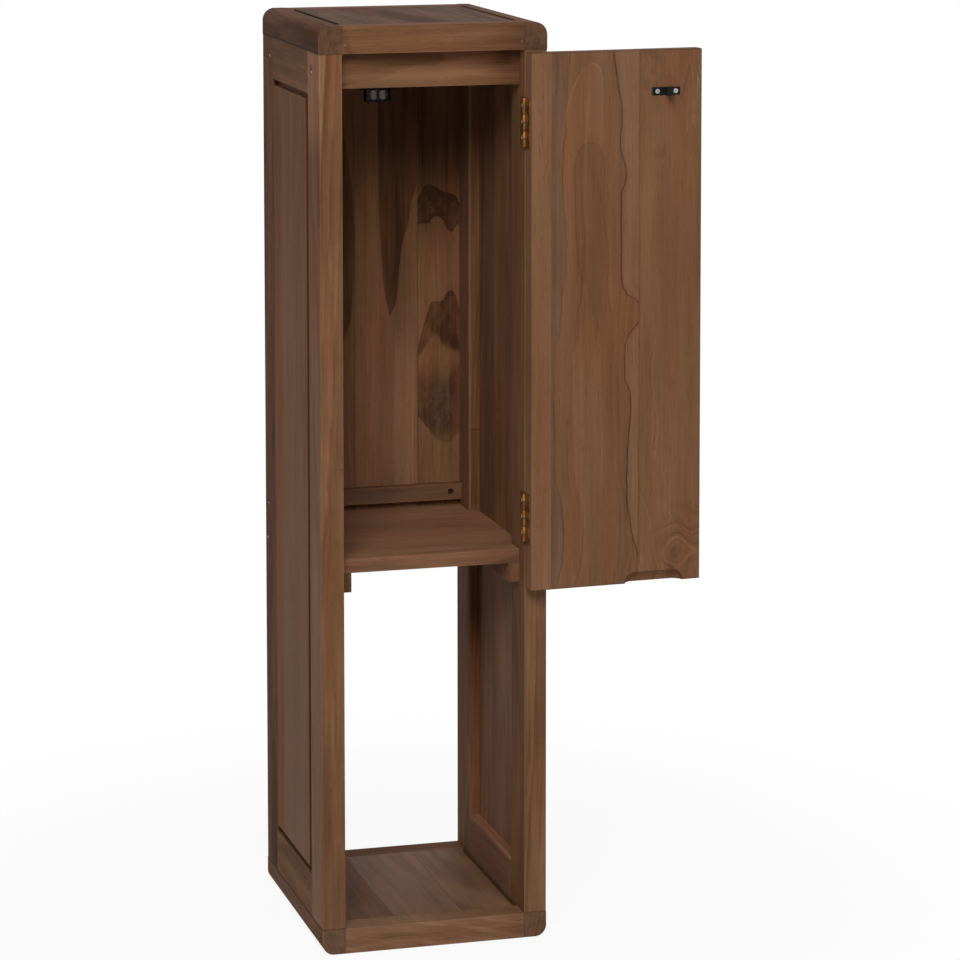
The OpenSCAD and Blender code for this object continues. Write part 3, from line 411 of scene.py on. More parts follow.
@cache
def knot_group():
    """A knot: a soft oval, its rings and its core, from distances across and along the board."""
    tree, put, out = start_group(
        "Knot", {"Across": 0.0, "Along": 0.0, "Reach": 0.03, "Ring Width": 0.005, "Seed": 0.0},
        ("Oval", "Rings", "Core"))
    a, b, reach = put["Across"], put["Along"], put["Reach"]
    bent = noises(tree, a * 24.0, b * 24.0, put["Seed"], 1.0)
    away = distance(a + bent[0] * reach * 0.9, b + bent[1] * reach * 0.9)
    feed(tree, out["Oval"], away.step(reach, reach * 0.5))
    feed(tree, out["Core"], away.step(reach * 0.35, 0.0))
    swirl = (away / put["Ring Width"]).part().near(0.5, 0.28)
    feed(tree, out["Rings"], swirl * away.step(reach * 1.1, reach * 0.7))
    return tree


@cache
def finish_group():
    """Speckle and clouding of a plated or coated fitting."""
    tree, put, out = start_group(
        "Fitting Wear", {"Point": None, "Speckle": 900.0, "Amount": 0.3}, ("Tint", "Roughness", "Height"))
    parts = split(tree, put["Point"])
    speck = noise(tree, *[part * put["Speckle"] for part in parts], 3.0, 0.6)
    cloud = noise(tree, *[part * 160.0 for part in parts])
    feed(tree, out["Tint"], cloud.step(0.35, 0.7) * put["Amount"])
    feed(tree, out["Roughness"], (speck - 0.5) * put["Amount"])
    feed(tree, out["Height"], speck)
    return tree


# Materials

def node_of(tree, kind):
    """The node of one kind that a new tree starts with."""
    return next(node for node in tree.nodes if node.type == kind)


def bare_material(name):
    material = bpy.data.materials.new(name)
    material.use_nodes = True
    return material, material.node_tree, node_of(material.node_tree, "BSDF_PRINCIPLED")


def bump_into(tree, shader, height, strength, depth):
    bump = add_node(tree, "Bump", {"Strength": strength, "Distance": depth, "Height": height})
    tree.links.new(bump.outputs["Normal"], shader.inputs["Normal"])


def turned(point):
    """A point of the open door, swung shut."""
    side = point - DOOR_AXIS
    c, s = math.cos(DOOR_SHUT), math.sin(DOOR_SHUT)
    return Vector((side.x * c - side.y * s, side.x * s + side.y * c, side.z)) + DOOR_AXIS


# Measures of the cabinet that its figure is laid by, in millimetres with the door shut

LEFT, FRONT, TOP_JOINT = [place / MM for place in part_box("top_left_rail")[0]]
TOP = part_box("top_left_rail")[1].z / MM
BASE_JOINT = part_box("base_left_rail")[1].z / MM
INNER_SIDE, STILE_EDGE = [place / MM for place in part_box("right_rear_stile")[0].xy]
LEFT_FIELD_TOP = 1102.0
BOARD_SLOT = 6.0
TOP_FIELD = -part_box("top_left_rail")[1].x / MM - BOARD_SLOT
SHELF_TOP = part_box("shelf_panel")[1].z / MM
SAW_CUT = 624.0
BACK_JOINT = 61.5
DOOR_EDGE = max(turned(v.co).x for v in NODES["door_hinge_board"].data.vertices)
DOOR_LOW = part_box("door_middle_board")[0].z / MM
PULL_MIDDLE, PULL_HALF, PULL_RISE = 169.0, 26.0, 13.67
BOLT_ACROSS, BOLT_HEIGHTS = -122.0, (1142.0, 532.0, 483.0)
HINGE_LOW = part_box("lower_frame_leaf")[0].z / MM
HINGE_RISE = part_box("upper_frame_leaf")[0].z / MM - HINGE_LOW
KNUCKLE = (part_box("lower_frame_leaf")[1].z / MM - HINGE_LOW) / 6
BETWEEN_HINGES = 800.0
FLOOR_REACH = 14.0


class Board:
    """Where a board lies: its middle, half size and the row axes that run across, through and along it."""

    def __init__(self, node, along, door):
        low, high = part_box(node)
        if door:
            points = [turned(v.co) for v in NODES[node].data.vertices]
            low, high = [Vector([end(p[i] for p in points) for i in (X, Y, Z)]) for end in (min, max)]
        self.middle = (low + high) / 2
        size = high - low
        across, through = sorted((i for i in (X, Y, Z) if i != along), key=lambda i: -size[i])
        self.axes = (across, through, along)
        self.half = Vector([size[i] / 2 for i in self.axes])
        self.door = door


class Spot:
    """A point of a board's surface: x, y, z in millimetres with the door shut, u from the door's hinge edge."""

    def __init__(self, tree, board):
        place = add_node(tree, "TexCoord").outputs["Object"]
        if board.door:
            place = add_node(tree, "VectorRotate", {
                "Vector": place, "Center": tuple(DOOR_AXIS), "Angle": DOOR_SHUT},
                rotation_type="Z_AXIS").outputs[0]
        parts = split(tree, place)
        self.tree = tree
        self.x, self.y, self.z = [part / MM for part in parts]
        self.u = (DOOR_EDGE - parts[X]) / MM
        self.local = join(tree, *[parts[i] - board.middle[i] for i in board.axes])

    def noise(self, *point, detail=2.0, roughness=0.5):
        return noise(self.tree, *point, detail, roughness)

    def knot(self, across, along, reach, ring, seed):
        """A knot, from distances in metres across and along the board."""
        return place_group(self.tree, knot_group(), {
            "Across": across, "Along": along, "Reach": reach, "Ring Width": ring, "Seed": seed})


def teak_material(name, board, seed, heart=(0.0, 0.09), lean=0.04, ring=0.009, rings=0.3, tone=0.5,
                  mottle=0.6, red=0.6, weathered=0.2, scratches=0.25, tint=(1.0, 1.0, 1.0), wear=0.4,
                  seam=0.45, joint=0.0, end=0.2, gloss=0.08, polish=0.0, figure=None):
    """Stained teak for one board. figure(spot) returns what the board's own figure adds, by input name, with its
    rubbed places as Worn, and with painted shade, dark lines where shadow falls in gaps, grooves and hollows, under a
    key of its own."""
    teak = bpy.context.scene.teak
    material, tree, shader = bare_material(name)
    spot = Spot(tree, board)
    dark = rgba(teak.dark, tint)
    values = {
        "Point": spot.local, "Seed": seed, "Heart Across": heart[0], "Heart Through": heart[1], "Lean": lean,
        "Ring Width": ring, "Rings": rings, "Tone": tone, "Mottle": mottle, "Redness": red,
        "Weathered": weathered, "Scratches": scratches, "Wax Roughness": teak.roughness - polish,
        "Light Wood": rgba(teak.light, tint), "Middle Wood": rgba(teak.mid, tint), "Dark Wood": dark,
        "Grey Wood": rgba(teak.grey, tint)}
    if figure:
        values.update(figure(spot))
    worn, grime_and_shade = values.pop("Worn", 0.0), values.pop("Dirt", None)
    wood = place_group(tree, teak_group(), values)
    edges = place_group(tree, edge_group(), {
        "Point": spot.local, "Half Size": tuple(board.half), "Width": 0.0028, "Seed": seed})
    # Darker seams, long joints and end grain: partly soiling and the darker end grain, partly painted shade in the
    # gaps between boards.
    joint_dirt_and_shade = (edges["End"] * end).most(edges["Seam"] * seam).most(edges["Joint"] * joint)
    shade = mix(tree, joint_dirt_and_shade, wood["Color"], dark)
    # Painted shade from the board's figure: near-black where shadow falls in gaps, grooves and hollows.
    if grime_and_shade:
        shade = mix(tree, grime_and_shade, shade, rgba(teak.dark, (0.4, 0.4, 0.4)))
    rubbed = edges["Edge"] * (teak.edge_wear * wear) + worn
    shade = mix(tree, rubbed.held(), shade, rgba(teak.light, (1.3, 1.3, 1.3)))
    tree.links.new(shade, shader.inputs["Base Color"])
    feed(tree, shader.inputs["Roughness"], wood["Roughness"])
    bump_into(tree, shader, wood["Height"], 0.35, 0.0004)
    shader.inputs["IOR"].default_value = 1.45
    shader.inputs["Specular IOR Level"].default_value = gloss
    return material


def fitting_material(name, shade, metallic, roughness, speckle=900.0, amount=0.25, worn=(0.5, 0.5, 0.5),
                     gloss=0.5, grime_and_shade=None):
    """A metal, coated or plastic finish. Its darkening function takes x, y, z in millimetres and returns where the
    finish is darkened, by soiling and by painted shade in gaps and hollows.
    """
    material, tree, shader = bare_material(name)
    place = add_node(tree, "TexCoord").outputs["Object"]
    wear = place_group(tree, finish_group(), {"Point": place, "Speckle": speckle, "Amount": amount})
    color = mix(tree, wear["Tint"], rgba(shade), rgba(shade, worn))
    if grime_and_shade:
        # Soiling and painted shade: near-black where knuckle gaps and sunk bolt heads lie in shadow.
        soil_and_shade = grime_and_shade(*[part / MM for part in split(tree, place)]).held()
        color = mix(tree, soil_and_shade, color, (0.012, 0.006, 0.003, 1.0))
    tree.links.new(color, shader.inputs["Base Color"])
    feed(tree, shader.inputs["Roughness"], (wear["Roughness"] + roughness).held())
    shader.inputs["Metallic"].default_value = metallic
    shader.inputs["Specular IOR Level"].default_value = gloss
    bump_into(tree, shader, wear["Height"], 0.1, 0.0001)
    return material


def barrel(x, y):
    """1 on the barrel of a hinge and a little less out on its leaves."""
    return distance(x - DOOR_AXIS.x / MM, y - DOOR_AXIS.y / MM).step(6.5, 4.5, 0.15, 1.0)


def above_hinge_foot(z):
    """How far a height lies above the foot of its own hinge."""
    return z - (HINGE_LOW + z.step(BETWEEN_HINGES, BETWEEN_HINGES + 1.0) * HINGE_RISE)


def knuckle_soil_and_shade(x, y, z):
    """Dark rings at the joints between the knuckles of both hinges: partly soiling, partly painted shade in the gaps.
    """
    return abs((above_hinge_foot(z) / KNUCKLE).part() - 0.5).step(0.41, 0.47) * barrel(x, y)


def door_leaf_soil_tarnish_and_shade(x, y, z):
    """The same dark rings, partly painted shade, and darker bands of tarnish at the door's own knuckles."""
    own = 1.0 - (above_hinge_foot(z) / (KNUCKLE * 2)).part().step(0.47, 0.53)
    patchy = noise(z.tree, x * 0.35, y * 0.35, z * 0.12, 2.0, 0.6).step(0.35, 0.65, 0.2, 0.6)
    return knuckle_soil_and_shade(x, y, z) + own * patchy


def bolt_head_shade(x, y, z):
    """Painted shade over the upper part of each sunk bolt head, which leaves a bright crescent below."""
    return total([z.near(height + 2.6, 5.2) for height in BOLT_HEIGHTS]).step(0.05, 0.45)


def dress(node, material, rounding=None):
    """Gives a CAD node its material and, with a rounding, softly broken edges."""
    piece = NODES[node]
    if not piece.material_slots:
        piece.data.materials.append(material)
    for slot in piece.material_slots:
        set_all(slot, link="OBJECT", material=material)
    if rounding:
        set_all(piece.modifiers.new("Weld", "WELD"), merge_threshold=0.00001)
        set_all(piece.modifiers.new("Flat faces", "DECIMATE"),
                decimate_type="DISSOLVE", angle_limit=math.radians(0.5))
        set_all(piece.modifiers.new("Bevel", "BEVEL"), width=rounding, segments=3,
                limit_method="ANGLE", angle_limit=math.radians(35), harden_normals=True)


def dress_board(node, along, seed, door=False, rounding=None, **wood):
    material = teak_material("teak_" + node, Board(node, along, door), seed, **wood)
    dress(node, material, rounding or bpy.context.scene.teak.edge_round)


# Figure of single boards, in millimetres

def rounded(value, reach):
    """The size of a number, with a rounded turn at 0."""
    return distance(value, reach) - reach * 0.5


def pull_rim_shade(spot):
    """A painted shadow line along the upper rim of the finger pull."""
    over = (abs(spot.u - PULL_MIDDLE) - PULL_HALF).most(0.0)
    return abs(distance(over, spot.z - DOOR_LOW) - PULL_RISE).step(1.3, 0.5)


# The door's wavy lines and arches as (height, place) pairs

DOOR_LINE_A = [(470, 31.7), (486.8, 39.2), (532.3, 44.5), (579.7, 41.6), (620.9, 32.5), (765.6, 30.9), (795, 38.6),
               (845.4, 41.7), (912.4, 47.8), (988.7, 42.5), (1045.8, 44.9), (1156.6, 52.2)]
DOOR_LINE_B = [(470, 151.0), (489.3, 149.2), (543, 137), (601.4, 131.1), (659.1, 133.6), (708.8, 136.2),
               (740.7, 128.1), (774.7, 128.0), (801.5, 139.9), (823.3, 149.0), (846.2, 131.4), (877.9, 122.9),
               (926, 122.7), (973.9, 122.5), (1002.2, 129.2), (1042.5, 120.8), (1076, 123), (1117.4, 117.7),
               (1156.6, 112.1)]
OUTER_ARCH_HALF = [(950, 30), (1000, 29), (1050, 26.5), (1075, 24), (1109, 20), (1125, 16), (1140, 10),
                   (1149, 0.2), (1160, -6)]
OUTER_ARCH_MIDDLE = [(950, 70), (1060, 70), (1109, 75.5), (1150, 85)]
INNER_ARCH_HALF = [(740, 20), (800, 24), (860, 16), (900, 19), (967, 17), (1010, 18.5), (1029, 16), (1040, 11),
                   (1049, 0.2), (1060, -6)]
INNER_ARCH_MIDDLE = [(740, 78), (860, 86), (967, 79), (1049, 80)]


def door_middle_figure(spot):
    """Two wavy dark lines with weathered wood outside them, and two arches between them."""
    u, z = spot.u, spot.z
    side_a, side_b = z.curve(DOOR_LINE_A) - u, u - z.curve(DOOR_LINE_B)
    vein_a, vein_b = [place_group(spot.tree, vein_group(), {
        "Side": side * MM, "Along": z * MM, "Line Width": width, "Fade Width": fade, "Seed": seed})
        for side, width, fade, seed in ((side_a, 0.0011, 0.008, 2.3), (side_b, 0.0012, 0.014, 5.1))]
    band_a, band_b = side_a.step(-0.5, 2.0), side_b.step(-0.5, 2.0)
    outside = band_a.most(band_b)
    patchy = spot.noise(u * 0.03, 0.3, z * 0.008, roughness=0.6).step(0.36, 0.62)
    outer = z.curve(OUTER_ARCH_HALF) - rounded(u - z.curve(OUTER_ARCH_MIDDLE), 4.0)
    inner = z.curve(INNER_ARCH_HALF) - rounded(u - z.curve(INNER_ARCH_MIDDLE), 6.0)
    in_outer, in_inner = outer.step(-1.0, 1.5), inner.step(-1.0, 1.5)
    ring = in_outer * (1.0 - in_inner) * z.step(950, 1080)
    core = in_inner * z.step(740, 830)
    outer_rim = abs(outer).step(1.6, 0.0) * z.step(1000, 1080)
    inner_rim = abs(inner).step(1.4, 0.0) * z.step(760, 830)
    lines = vein_a["Line"] * (patchy * 0.7 + 0.3) + vein_b["Line"]
    fades = vein_a["Fade"] * 0.16 + vein_b["Fade"] * 0.34
    low = z.step(800, 560)
    return {"Grey Figure": band_a * (patchy * 0.4 + 0.5) + band_b * (patchy * 0.35 + 0.4) + low * 0.12,
            "Red Figure": ring * u.step(96, 70, 0.35, 0.75) + z.near(800, 120) * 0.35,
            "Dark Figure": lines.held() * 0.60 + fades + core * 0.12 + inner_rim * 0.28 + low * 0.02 + band_a * 0.26,
            "Pale Figure": outer_rim * 0.36 + ring * 0.10 + band_b * 0.26,
            "Dirt": pull_rim_shade(spot) * 0.5,
            "Growth": (outside * side_a.most(side_b) - (1.0 - outside) * side_a) * MM, "Own Growth": 1.0}


def door_free_figure(spot):
    """Swirls round a knot near the finger pull, a few pale wandering hairs and a dark streak at the top."""
    u, z = spot.u, spot.z
    across, along = (u - 198.0) * MM, (z - 500.0) * MM * 0.8
    knot = spot.knot(across, along, 0.045, 0.012, 3.3)
    eye = spot.knot((u - 176.0) * MM, (z - 1030.0) * MM, 0.011, 0.004, 7.7)
    bend = noises(spot.tree, u * 0.02, z * 0.02, 0.6, 1.0)
    away = distance(across, along) + bend[0] * 0.05 + bend[1] * 0.02 - across * 0.25
    swirl = away.step(0.056, 0.036)
    faint = spot.noise(u * 0.012, z * 0.012, 0.2, roughness=0.6).step(0.40, 0.62)
    pale_rings = (away / 0.013).part().near(0.5, 0.09) * swirl * faint
    wavy = u - spot.noise(0.3, 0.8, z * 0.014) * 26.0
    hair = (wavy.near(158.0, 0.6) + wavy.near(152.0, 0.5)) * z.between(620, 790, 30)
    hair = hair + wavy.near(176.0, 0.5) * z.between(560, 700, 25)
    for start, slope in ((166.0, -0.30), (181.0, -0.22), (192.0, -0.42), (203.0, -0.55)):
        slanting = abs(wavy - start + 13.0 - (z - 530.0) * slope).step(0.7, 0.0)
        hair = hair + slanting * z.between(538, 578, 12) * 0.7
    streak = (u - (z - 1098.0) * 0.25).between(204.0, 207.0, 1.2) * z.between(1098, 1142, 8)
    cloud = spot.noise(u * 0.045, 0.6, z * 0.03, detail=3.0, roughness=0.6).step(0.42, 0.62)
    clouded = (u.between(150, 180, 6) * z.step(1085, 1120) * cloud
               + u.step(218, 230) * z.between(800, 1000, 60) * 0.4)
    return {"Dark Figure": knot["Core"] * 0.35 + eye["Oval"] * 0.2 + u.step(151.0, 147.5) * 0.25 + streak * 0.3
            + clouded * 0.30,
            "Pale Figure": hair * 0.55 + pale_rings * 0.36,
            "Dirt": pull_rim_shade(spot) * 0.5,
            "Growth": away, "Own Growth": swirl, "Rings": swirl * faint * 0.40 + 0.20}


def door_hinge_figure(spot):
    """A plain pale board, a little browner lower down and at the top."""
    browner = spot.z.between(480, 760, 40) * 0.06 + spot.z.step(1080, 1150) * 0.12
    return {"Pale Figure": 0.12, "Grey Figure": 0.12, "Dark Figure": browner}


def wedge_mask(spot):
    """The dark heart at the left of the back."""
    edge = spot.z.curve([(730, -46.0), (752.9, -38.7), (802.4, -29.5), (879.3, -26.9), (944.9, -29.5),
                         (989.9, -35.1), (1038.5, -40.7), (1166, -50.0)])
    return (edge - spot.x).step(-1.5, 2.5) * spot.z.step(700, 770)


def back_left_figure(spot):
    """The dark heart, and paler and greyer low down as painted light below the header's shadow."""
    low = spot.z.step(800, 600)
    return {"Dark Figure": wedge_mask(spot) * 0.62, "Pale Figure": low * 0.20, "Grey Figure": low * 0.15}


def back_middle_figure(spot):
    """A dark wedge that narrows downwards between pale bands."""
    x, z = spot.x, spot.z
    left = x - z.curve([(740, 26), (778, 21), (800, 16.1), (849.7, 10.4), (906, 7.7), (962, 5.9), (1166, 6.1)])
    right = z.curve([(740, 14), (778.4, 23.7), (799.9, 31.5), (839.3, 35.4), (880.5, 41.2), (904.7, 49.0),
                     (932.7, 52.9), (960.6, 60.6), (1016.9, 63), (1166, 64)]) - x
    wedge = left.step(-1.0, 1.5) * right.step(-1.0, 1.5)
    seam = x.near(-12.4, 1.1) * z.step(560, 700)
    cracks = x.near(47.0, 0.7) * z.between(575, 640, 12) + x.near(56.0, 0.8) * z.between(520, 650, 15)
    low = z.step(850, 620)
    olive = x.between(29, 57, 4) * z.step(790, 700)
    pink = x.between(-12, 6, 3) + x.between(-27, -13, 3) * 0.5
    # Paler and greyer low down: painted light below the header's shadow.
    return {"Dark Figure": wedge * 0.72 + wedge_mask(spot) * 0.62 + seam * 0.4 + cracks * 0.5
            + x.between(8, 29, 5) * z.step(780, 700) * 0.10,
            "Pale Figure": olive * 0.40 + pink * 0.12 + low * 0.30,
            "Red Figure": pink * 0.2 + wedge * 0.3, "Grey Figure": low * 0.25,
            "Growth": left.least(right).least(14.0) * MM, "Own Growth": 0.25}


def back_right_figure(spot):
    """A dark blot, an arch and a knot above a paler corner, and a top that darkens towards the header as painted
    shadow.
    """
    x, z = spot.x, spot.z
    below_top = x.curve([(61, 930), (65.4, 943.6), (76, 954.5), (83.7, 952.4), (99.2, 944.3), (112.7, 940.1),
                         (123.4, 922.8), (132, 915)]) - z
    above_foot = z - x.curve([(61, 900), (66.3, 902.2), (76, 901.8), (85.6, 910.9), (95.3, 907.7), (101.1, 897.2),
                              (108.9, 889.3), (116.6, 898.5), (132, 903)])
    blot = below_top.step(-1.2, 1.2) * above_foot.step(-1.2, 1.2)
    rim = below_top.near(3.5, 8.0) * blot + above_foot.near(2.0, 5.0) * blot * 0.5
    arch_top = x.curve([(61, 728), (62.3, 735.2), (68.1, 757.6), (75.9, 782), (79.7, 793), (95.2, 795),
                        (106.9, 809), (116.6, 797), (122.4, 780), (132, 765)])
    arch_low = x.curve([(61, 712), (63.2, 718), (75.8, 738), (79.7, 745), (87.5, 748), (95.2, 735),
                        (106.9, 727), (120.5, 723), (132, 722)])
    arch = (arch_top - z).step(-1.2, 2.0) * (z - arch_low).step(-4.0, 6.0)
    corner = x.curve([(61, 636), (62.1, 634.6), (75.7, 618.7), (91.3, 600.8), (106.8, 598), (112.7, 605.4),
                      (132, 618)])
    below = (corner - z).step(-1.2, 1.2)
    knot = spot.knot((x - 93.0) * MM, (z - 650.0) * MM * 0.75, 0.030, 0.006, 1.9)
    middle = z.between(610, 700, 12) * (1.0 - below)
    seam = x.near(BACK_JOINT, 1.6) * z.between(560, 700, 30)
    cloud = spot.noise(x * 0.05, 0.4, z * 0.035, detail=3.0, roughness=0.6).step(0.36, 0.62)
    # Darker from z 815 up and more so above z 925: painted shadow of the header.
    return {"Dark Figure": blot * (cloud * 0.40 + 0.45) + rim * 0.45 + arch * (cloud * 0.40 + 0.48)
            + z.step(925, 985) * 0.55 + middle * (cloud * 0.3 + 0.18) + knot["Core"] * 0.55
            + knot["Rings"] * 0.10 + knot["Oval"] * 0.32 + z.step(815, 925) * 0.12 + seam * 0.5,
            "Pale Figure": below * 0.37 + z.between(700, 730, 10) * 0.15 + z.between(815, 890, 12) * 0.1,
            "Red Figure": arch * 0.3 + z.between(700, 900, 20) * 0.25 - below * 0.2,
            "Grey Figure": knot["Oval"] * 0.55,
            "Worn": x.near(BACK_JOINT, 1.0) * z.between(970, 1040, 12) * 0.3}


def left_panel_figure(spot):
    """Greyer low down and darker high up, with reddish edges, painted shade on the groove wall at its front edge and
    pale spots along its upper edge.
    """
    y, z = spot.y, spot.z
    wander = (spot.noise(0.7, 0.2, z * 0.005) - 0.5) * 40.0
    middle = (y + wander).between(-80, 60, 26)
    pale_spots = total([y.near(place, reach) for place, reach in ((78, 12), (-14, 8), (-52, 9), (20, 4))])
    # Greyer low down is partly painted sheen from the floor, partly weathering. The near-black at the front edge is
    # painted shade on the groove wall and tongue.
    return {"Grey Figure": middle * (z.step(900, 500) * 0.65 + 0.2), "Red Figure": (1.0 - middle) * 0.5,
            "Dark Figure": z.step(780, 1050) * 0.24, "Dirt": y.step(-89.2, -89.9) * 0.65,
            "Worn": pale_spots * z.near(LEFT_FIELD_TOP, 2.4) * 0.5}


def left_rail_figure(spot):
    """A dusty rail with darker patches on its outer face, a painted shadow line where it meets the side, and a worn
    front corner.
    """
    x, y, z = spot.x, spot.y, spot.z
    patch = spot.noise(y * 0.016, 0.4, z * 0.03, roughness=0.6).step(0.42, 0.6)
    outer = y.step(FRONT + 0.4, FRONT + 1.6)
    # Painted shadow line along the joint between this rail and the side.
    seam = (abs(z - TOP_JOINT).step(3.4, 1.6) + abs(z - BASE_JOINT).step(3.0, 1.4)) * outer
    return {"Dark Figure": (patch * 0.20 + x.step(-140.0, -149.0) * 0.2 - 0.17) * outer + 0.17,
            "Grey Figure": (1.0 - outer) * 1.3 + 0.3, "Dirt": seam * 0.95,
            "Worn": x.near(LEFT, 1.7) * y.near(FRONT, 1.7) * 0.35}


def right_wall_figure(spot):
    """Long upright bands, weathered grey and reddish by turns, and paler and greyer below the shelf as painted light.
    """
    y = spot.y + (spot.noise(0.2, 0.9, spot.z * 0.004) - 0.5) * 16.0
    olive = y.between(30, 62, 6) + y.between(-60, -42, 5) * 0.6
    reddish = y.between(-20, 20, 8) + y.between(-95, -70, 8) * 0.6
    return {"Grey Figure": olive * 0.3 + spot.z.step(520, 400) * 0.3, "Red Figure": reddish * 0.8,
            "Dark Figure": olive * 0.2, "Pale Figure": reddish * 0.12 + spot.z.step(520, 440) * 0.16}


def right_rear_figure(spot):
    """A greyer inner face, paler higher up, a worn front corner, a thin saw cut low in the closed part, and a front
    face that is darker higher up as painted shadow.
    """
    x, y, z = spot.x, spot.y, spot.z
    front = y.step(STILE_EDGE + 1.0, STILE_EDGE + 0.2)
    corner = y.near(STILE_EDGE, 1.5) * x.near(INNER_SIDE, 1.5) + front * x.near(134.5, 1.2) * 0.8
    cut = front * z.near(SAW_CUT, 1.0)
    low = front * z.step(SAW_CUT + 2.0, SAW_CUT - 2.0) * z.step(520.0, 521.0)
    orange = front * z.step(380.0, 300.0)
    # On the front face, darker above z 300 to 380 as painted shadow, and orange below.
    return {"Dark Figure": cut * 0.8 + low * 0.2 + front * (1.0 - orange) * 0.28,
            "Red Figure": low * 0.5 + orange * 0.7, "Grey Figure": (1.0 - front) * 0.35,
            "Pale Figure": (1.0 - front) * z.step(480.0, 560.0, 0.22, 0.52), "Worn": corner * 0.22}


def left_front_figure(spot):
    """A pale streak near the top corner, soft pale flecks, a small knot, and painted shade in the gap beside the
    panel and round the sunk bolt.
    """
    x, y, z = spot.x, spot.y, spot.z
    streak_edge = z.curve([(1000, -149), (1040, -147.6), (1090, -145.5), (1130, -143.5), (1165, -141)])
    streak = (streak_edge - x).step(-1.2, 1.2) * z.step(1020, 1080)
    flecks = total([x.near(a, 3.5) * z.near(b, reach) for a, b, reach in (
        (-135.5, 892, 38), (-139.6, 646, 40), (-142.0, 596, 26), (-136.0, 300, 60))])
    knot = spot.knot((x + 122.7) * MM, (z - 633.6) * MM, 0.005, 0.002, 4.0)
    side = x.step(LEFT + 1.0, LEFT + 0.4)
    width = spot.noise(0.1, 0.5, z * 0.02, roughness=0.6) * 2.4 + 0.7
    # Painted shade follows: a dark line in the gap beside the panel, and a dark ring round the sunk bolt's hole.
    beside = y.near(-STILE_EDGE, width) * side * z.between(90, 1110, 2)
    red = x.between(-140.5, -134.0, 1.5) * z.step(1060, 1120)
    bolt = distance(y - BOLT_ACROSS, z - BOLT_HEIGHTS[0]).step(7.4, 5.6)
    # On the outer side face, paler and greyer low down and darker high up: partly painted sheen from the floor,
    # partly weathering.
    return {"Pale Figure": streak * 0.75 + flecks * 0.5 + z.step(1060, 1120) * (1.0 - red) * 0.14
            + side * z.step(900, 500) * 0.2,
            "Dark Figure": knot["Core"] * 0.9 + beside + bolt * 0.8 + side * z.step(650, 900) * 0.2,
            "Red Figure": red, "Grey Figure": side * (z.step(900, 500) * 0.8 + 0.15)}


def header_figure(spot):
    """A darker reddish patch at the right, pale long streaks along the middle, and a darker, redder top as painted
    shadow under the top frame.
    """
    x, z = spot.x, spot.z
    patch = x.between(88, 108, 5) * z.step(1138, 1148)
    wave = spot.noise(x * 0.012, 0.2, 0.4) * 16.0
    return {"Dark Figure": patch * 0.2 + z.step(1142, 1158) * 0.22 + x.step(58, 112) * 0.40 + 0.06,
            "Red Figure": patch * 0.5 + z.step(1140, 1155) * 0.5,
            "Pale Figure": (z + wave).near(1140.0, 9.0) * 0.28 + x.step(-40, -110) * 0.12}


def top_panel_figure(spot):
    """Greyed boards with a warm band, and painted shade along the open slots."""
    warm = (spot.x + spot.y * 0.2).between(-40, 10, 14)
    # Painted shade in the open slots beside the panel.
    edge = (TOP_FIELD - abs(spot.x)).step(3.4, 1.6)
    return {"Dirt": edge * 0.85, "Red Figure": warm * 0.5, "Dark Figure": warm * 0.2 + 0.36,
            "Grey Figure": (1.0 - warm) * 0.55}


def top_front_figure(spot):
    """A dark mark at the left end and a rubbed upper edge."""
    x, z = spot.x, spot.z
    mark = (x + z * 0.4).between(352.0, 362.0, 3.0)
    rub = spot.noise(x * 0.03, 0.2, 0.8).step(0.4, 0.6)
    edge = z.near(TOP - 1.0, 1.8) * spot.y.near(FRONT, 2.4)
    return {"Dark Figure": mark * 0.3 + x.step(10, 125) * 0.27 + 0.12, "Worn": edge * rub * 0.25}


def base_front_figure(spot):
    """Slanting pale and olive streaks."""
    x, z = spot.x, spot.z
    slant = spot.noise(x * 0.012, 0.7, (z + x * 0.18) * 0.12, detail=3.0, roughness=0.6)
    return {"Pale Figure": slant.step(0.50, 0.66) * 0.5 + 0.05, "Grey Figure": 0.3,
            "Dark Figure": slant.step(0.46, 0.30) * 0.25 + x.step(70, 130) * 0.3}


def right_end_figure(spot):
    """A greyer sawn end at the front."""
    front = spot.y.step(FRONT + 2.0, FRONT + 0.5)
    return {"Grey Figure": front * 0.7, "Dark Figure": front * 0.32}


def floor_right_figure(spot):
    """Pale figure that runs slantwise over the board."""
    slant = spot.x * 0.7 + spot.y * 0.35
    wave = spot.noise(spot.x * 0.02, spot.y * 0.006, 0.3, roughness=0.6)
    return {"Growth": slant * MM * 0.35, "Own Growth": 0.8, "Grey Figure": 0.35,
            "Pale Figure": (slant + wave * 30.0).between(20, 60, 12) * 0.55,
            "Dark Figure": wave.step(0.5, 0.35) * 0.15}


def floor_figure(spot):
    """Dusty weathered boards."""
    return {"Grey Figure": 0.4}


def shelf_figure(spot):
    """A pale wavy worn line along the front edge, a paler, greyer and redder upper face as painted light and sheen,
    and darker other faces.
    """
    wave = (spot.noise(spot.x * 0.05, 0.4, 0.7) - 0.5) * 5.0
    line = abs(spot.y + 140.5 + wave).step(1.3, 0.0) * (spot.z - 505.0).step(0.0, 3.0)
    # Painted light and sheen on the upper face; the other faces a little darker.
    above = spot.z.step(SHELF_TOP - 1.0, SHELF_TOP - 0.2)
    return {"Pale Figure": line * 0.6 + above * 0.70, "Grey Figure": above * 0.35, "Red Figure": above * 0.4,
            "Dark Figure": (1.0 - above) * 0.12}


# Operators, one for each group of pieces

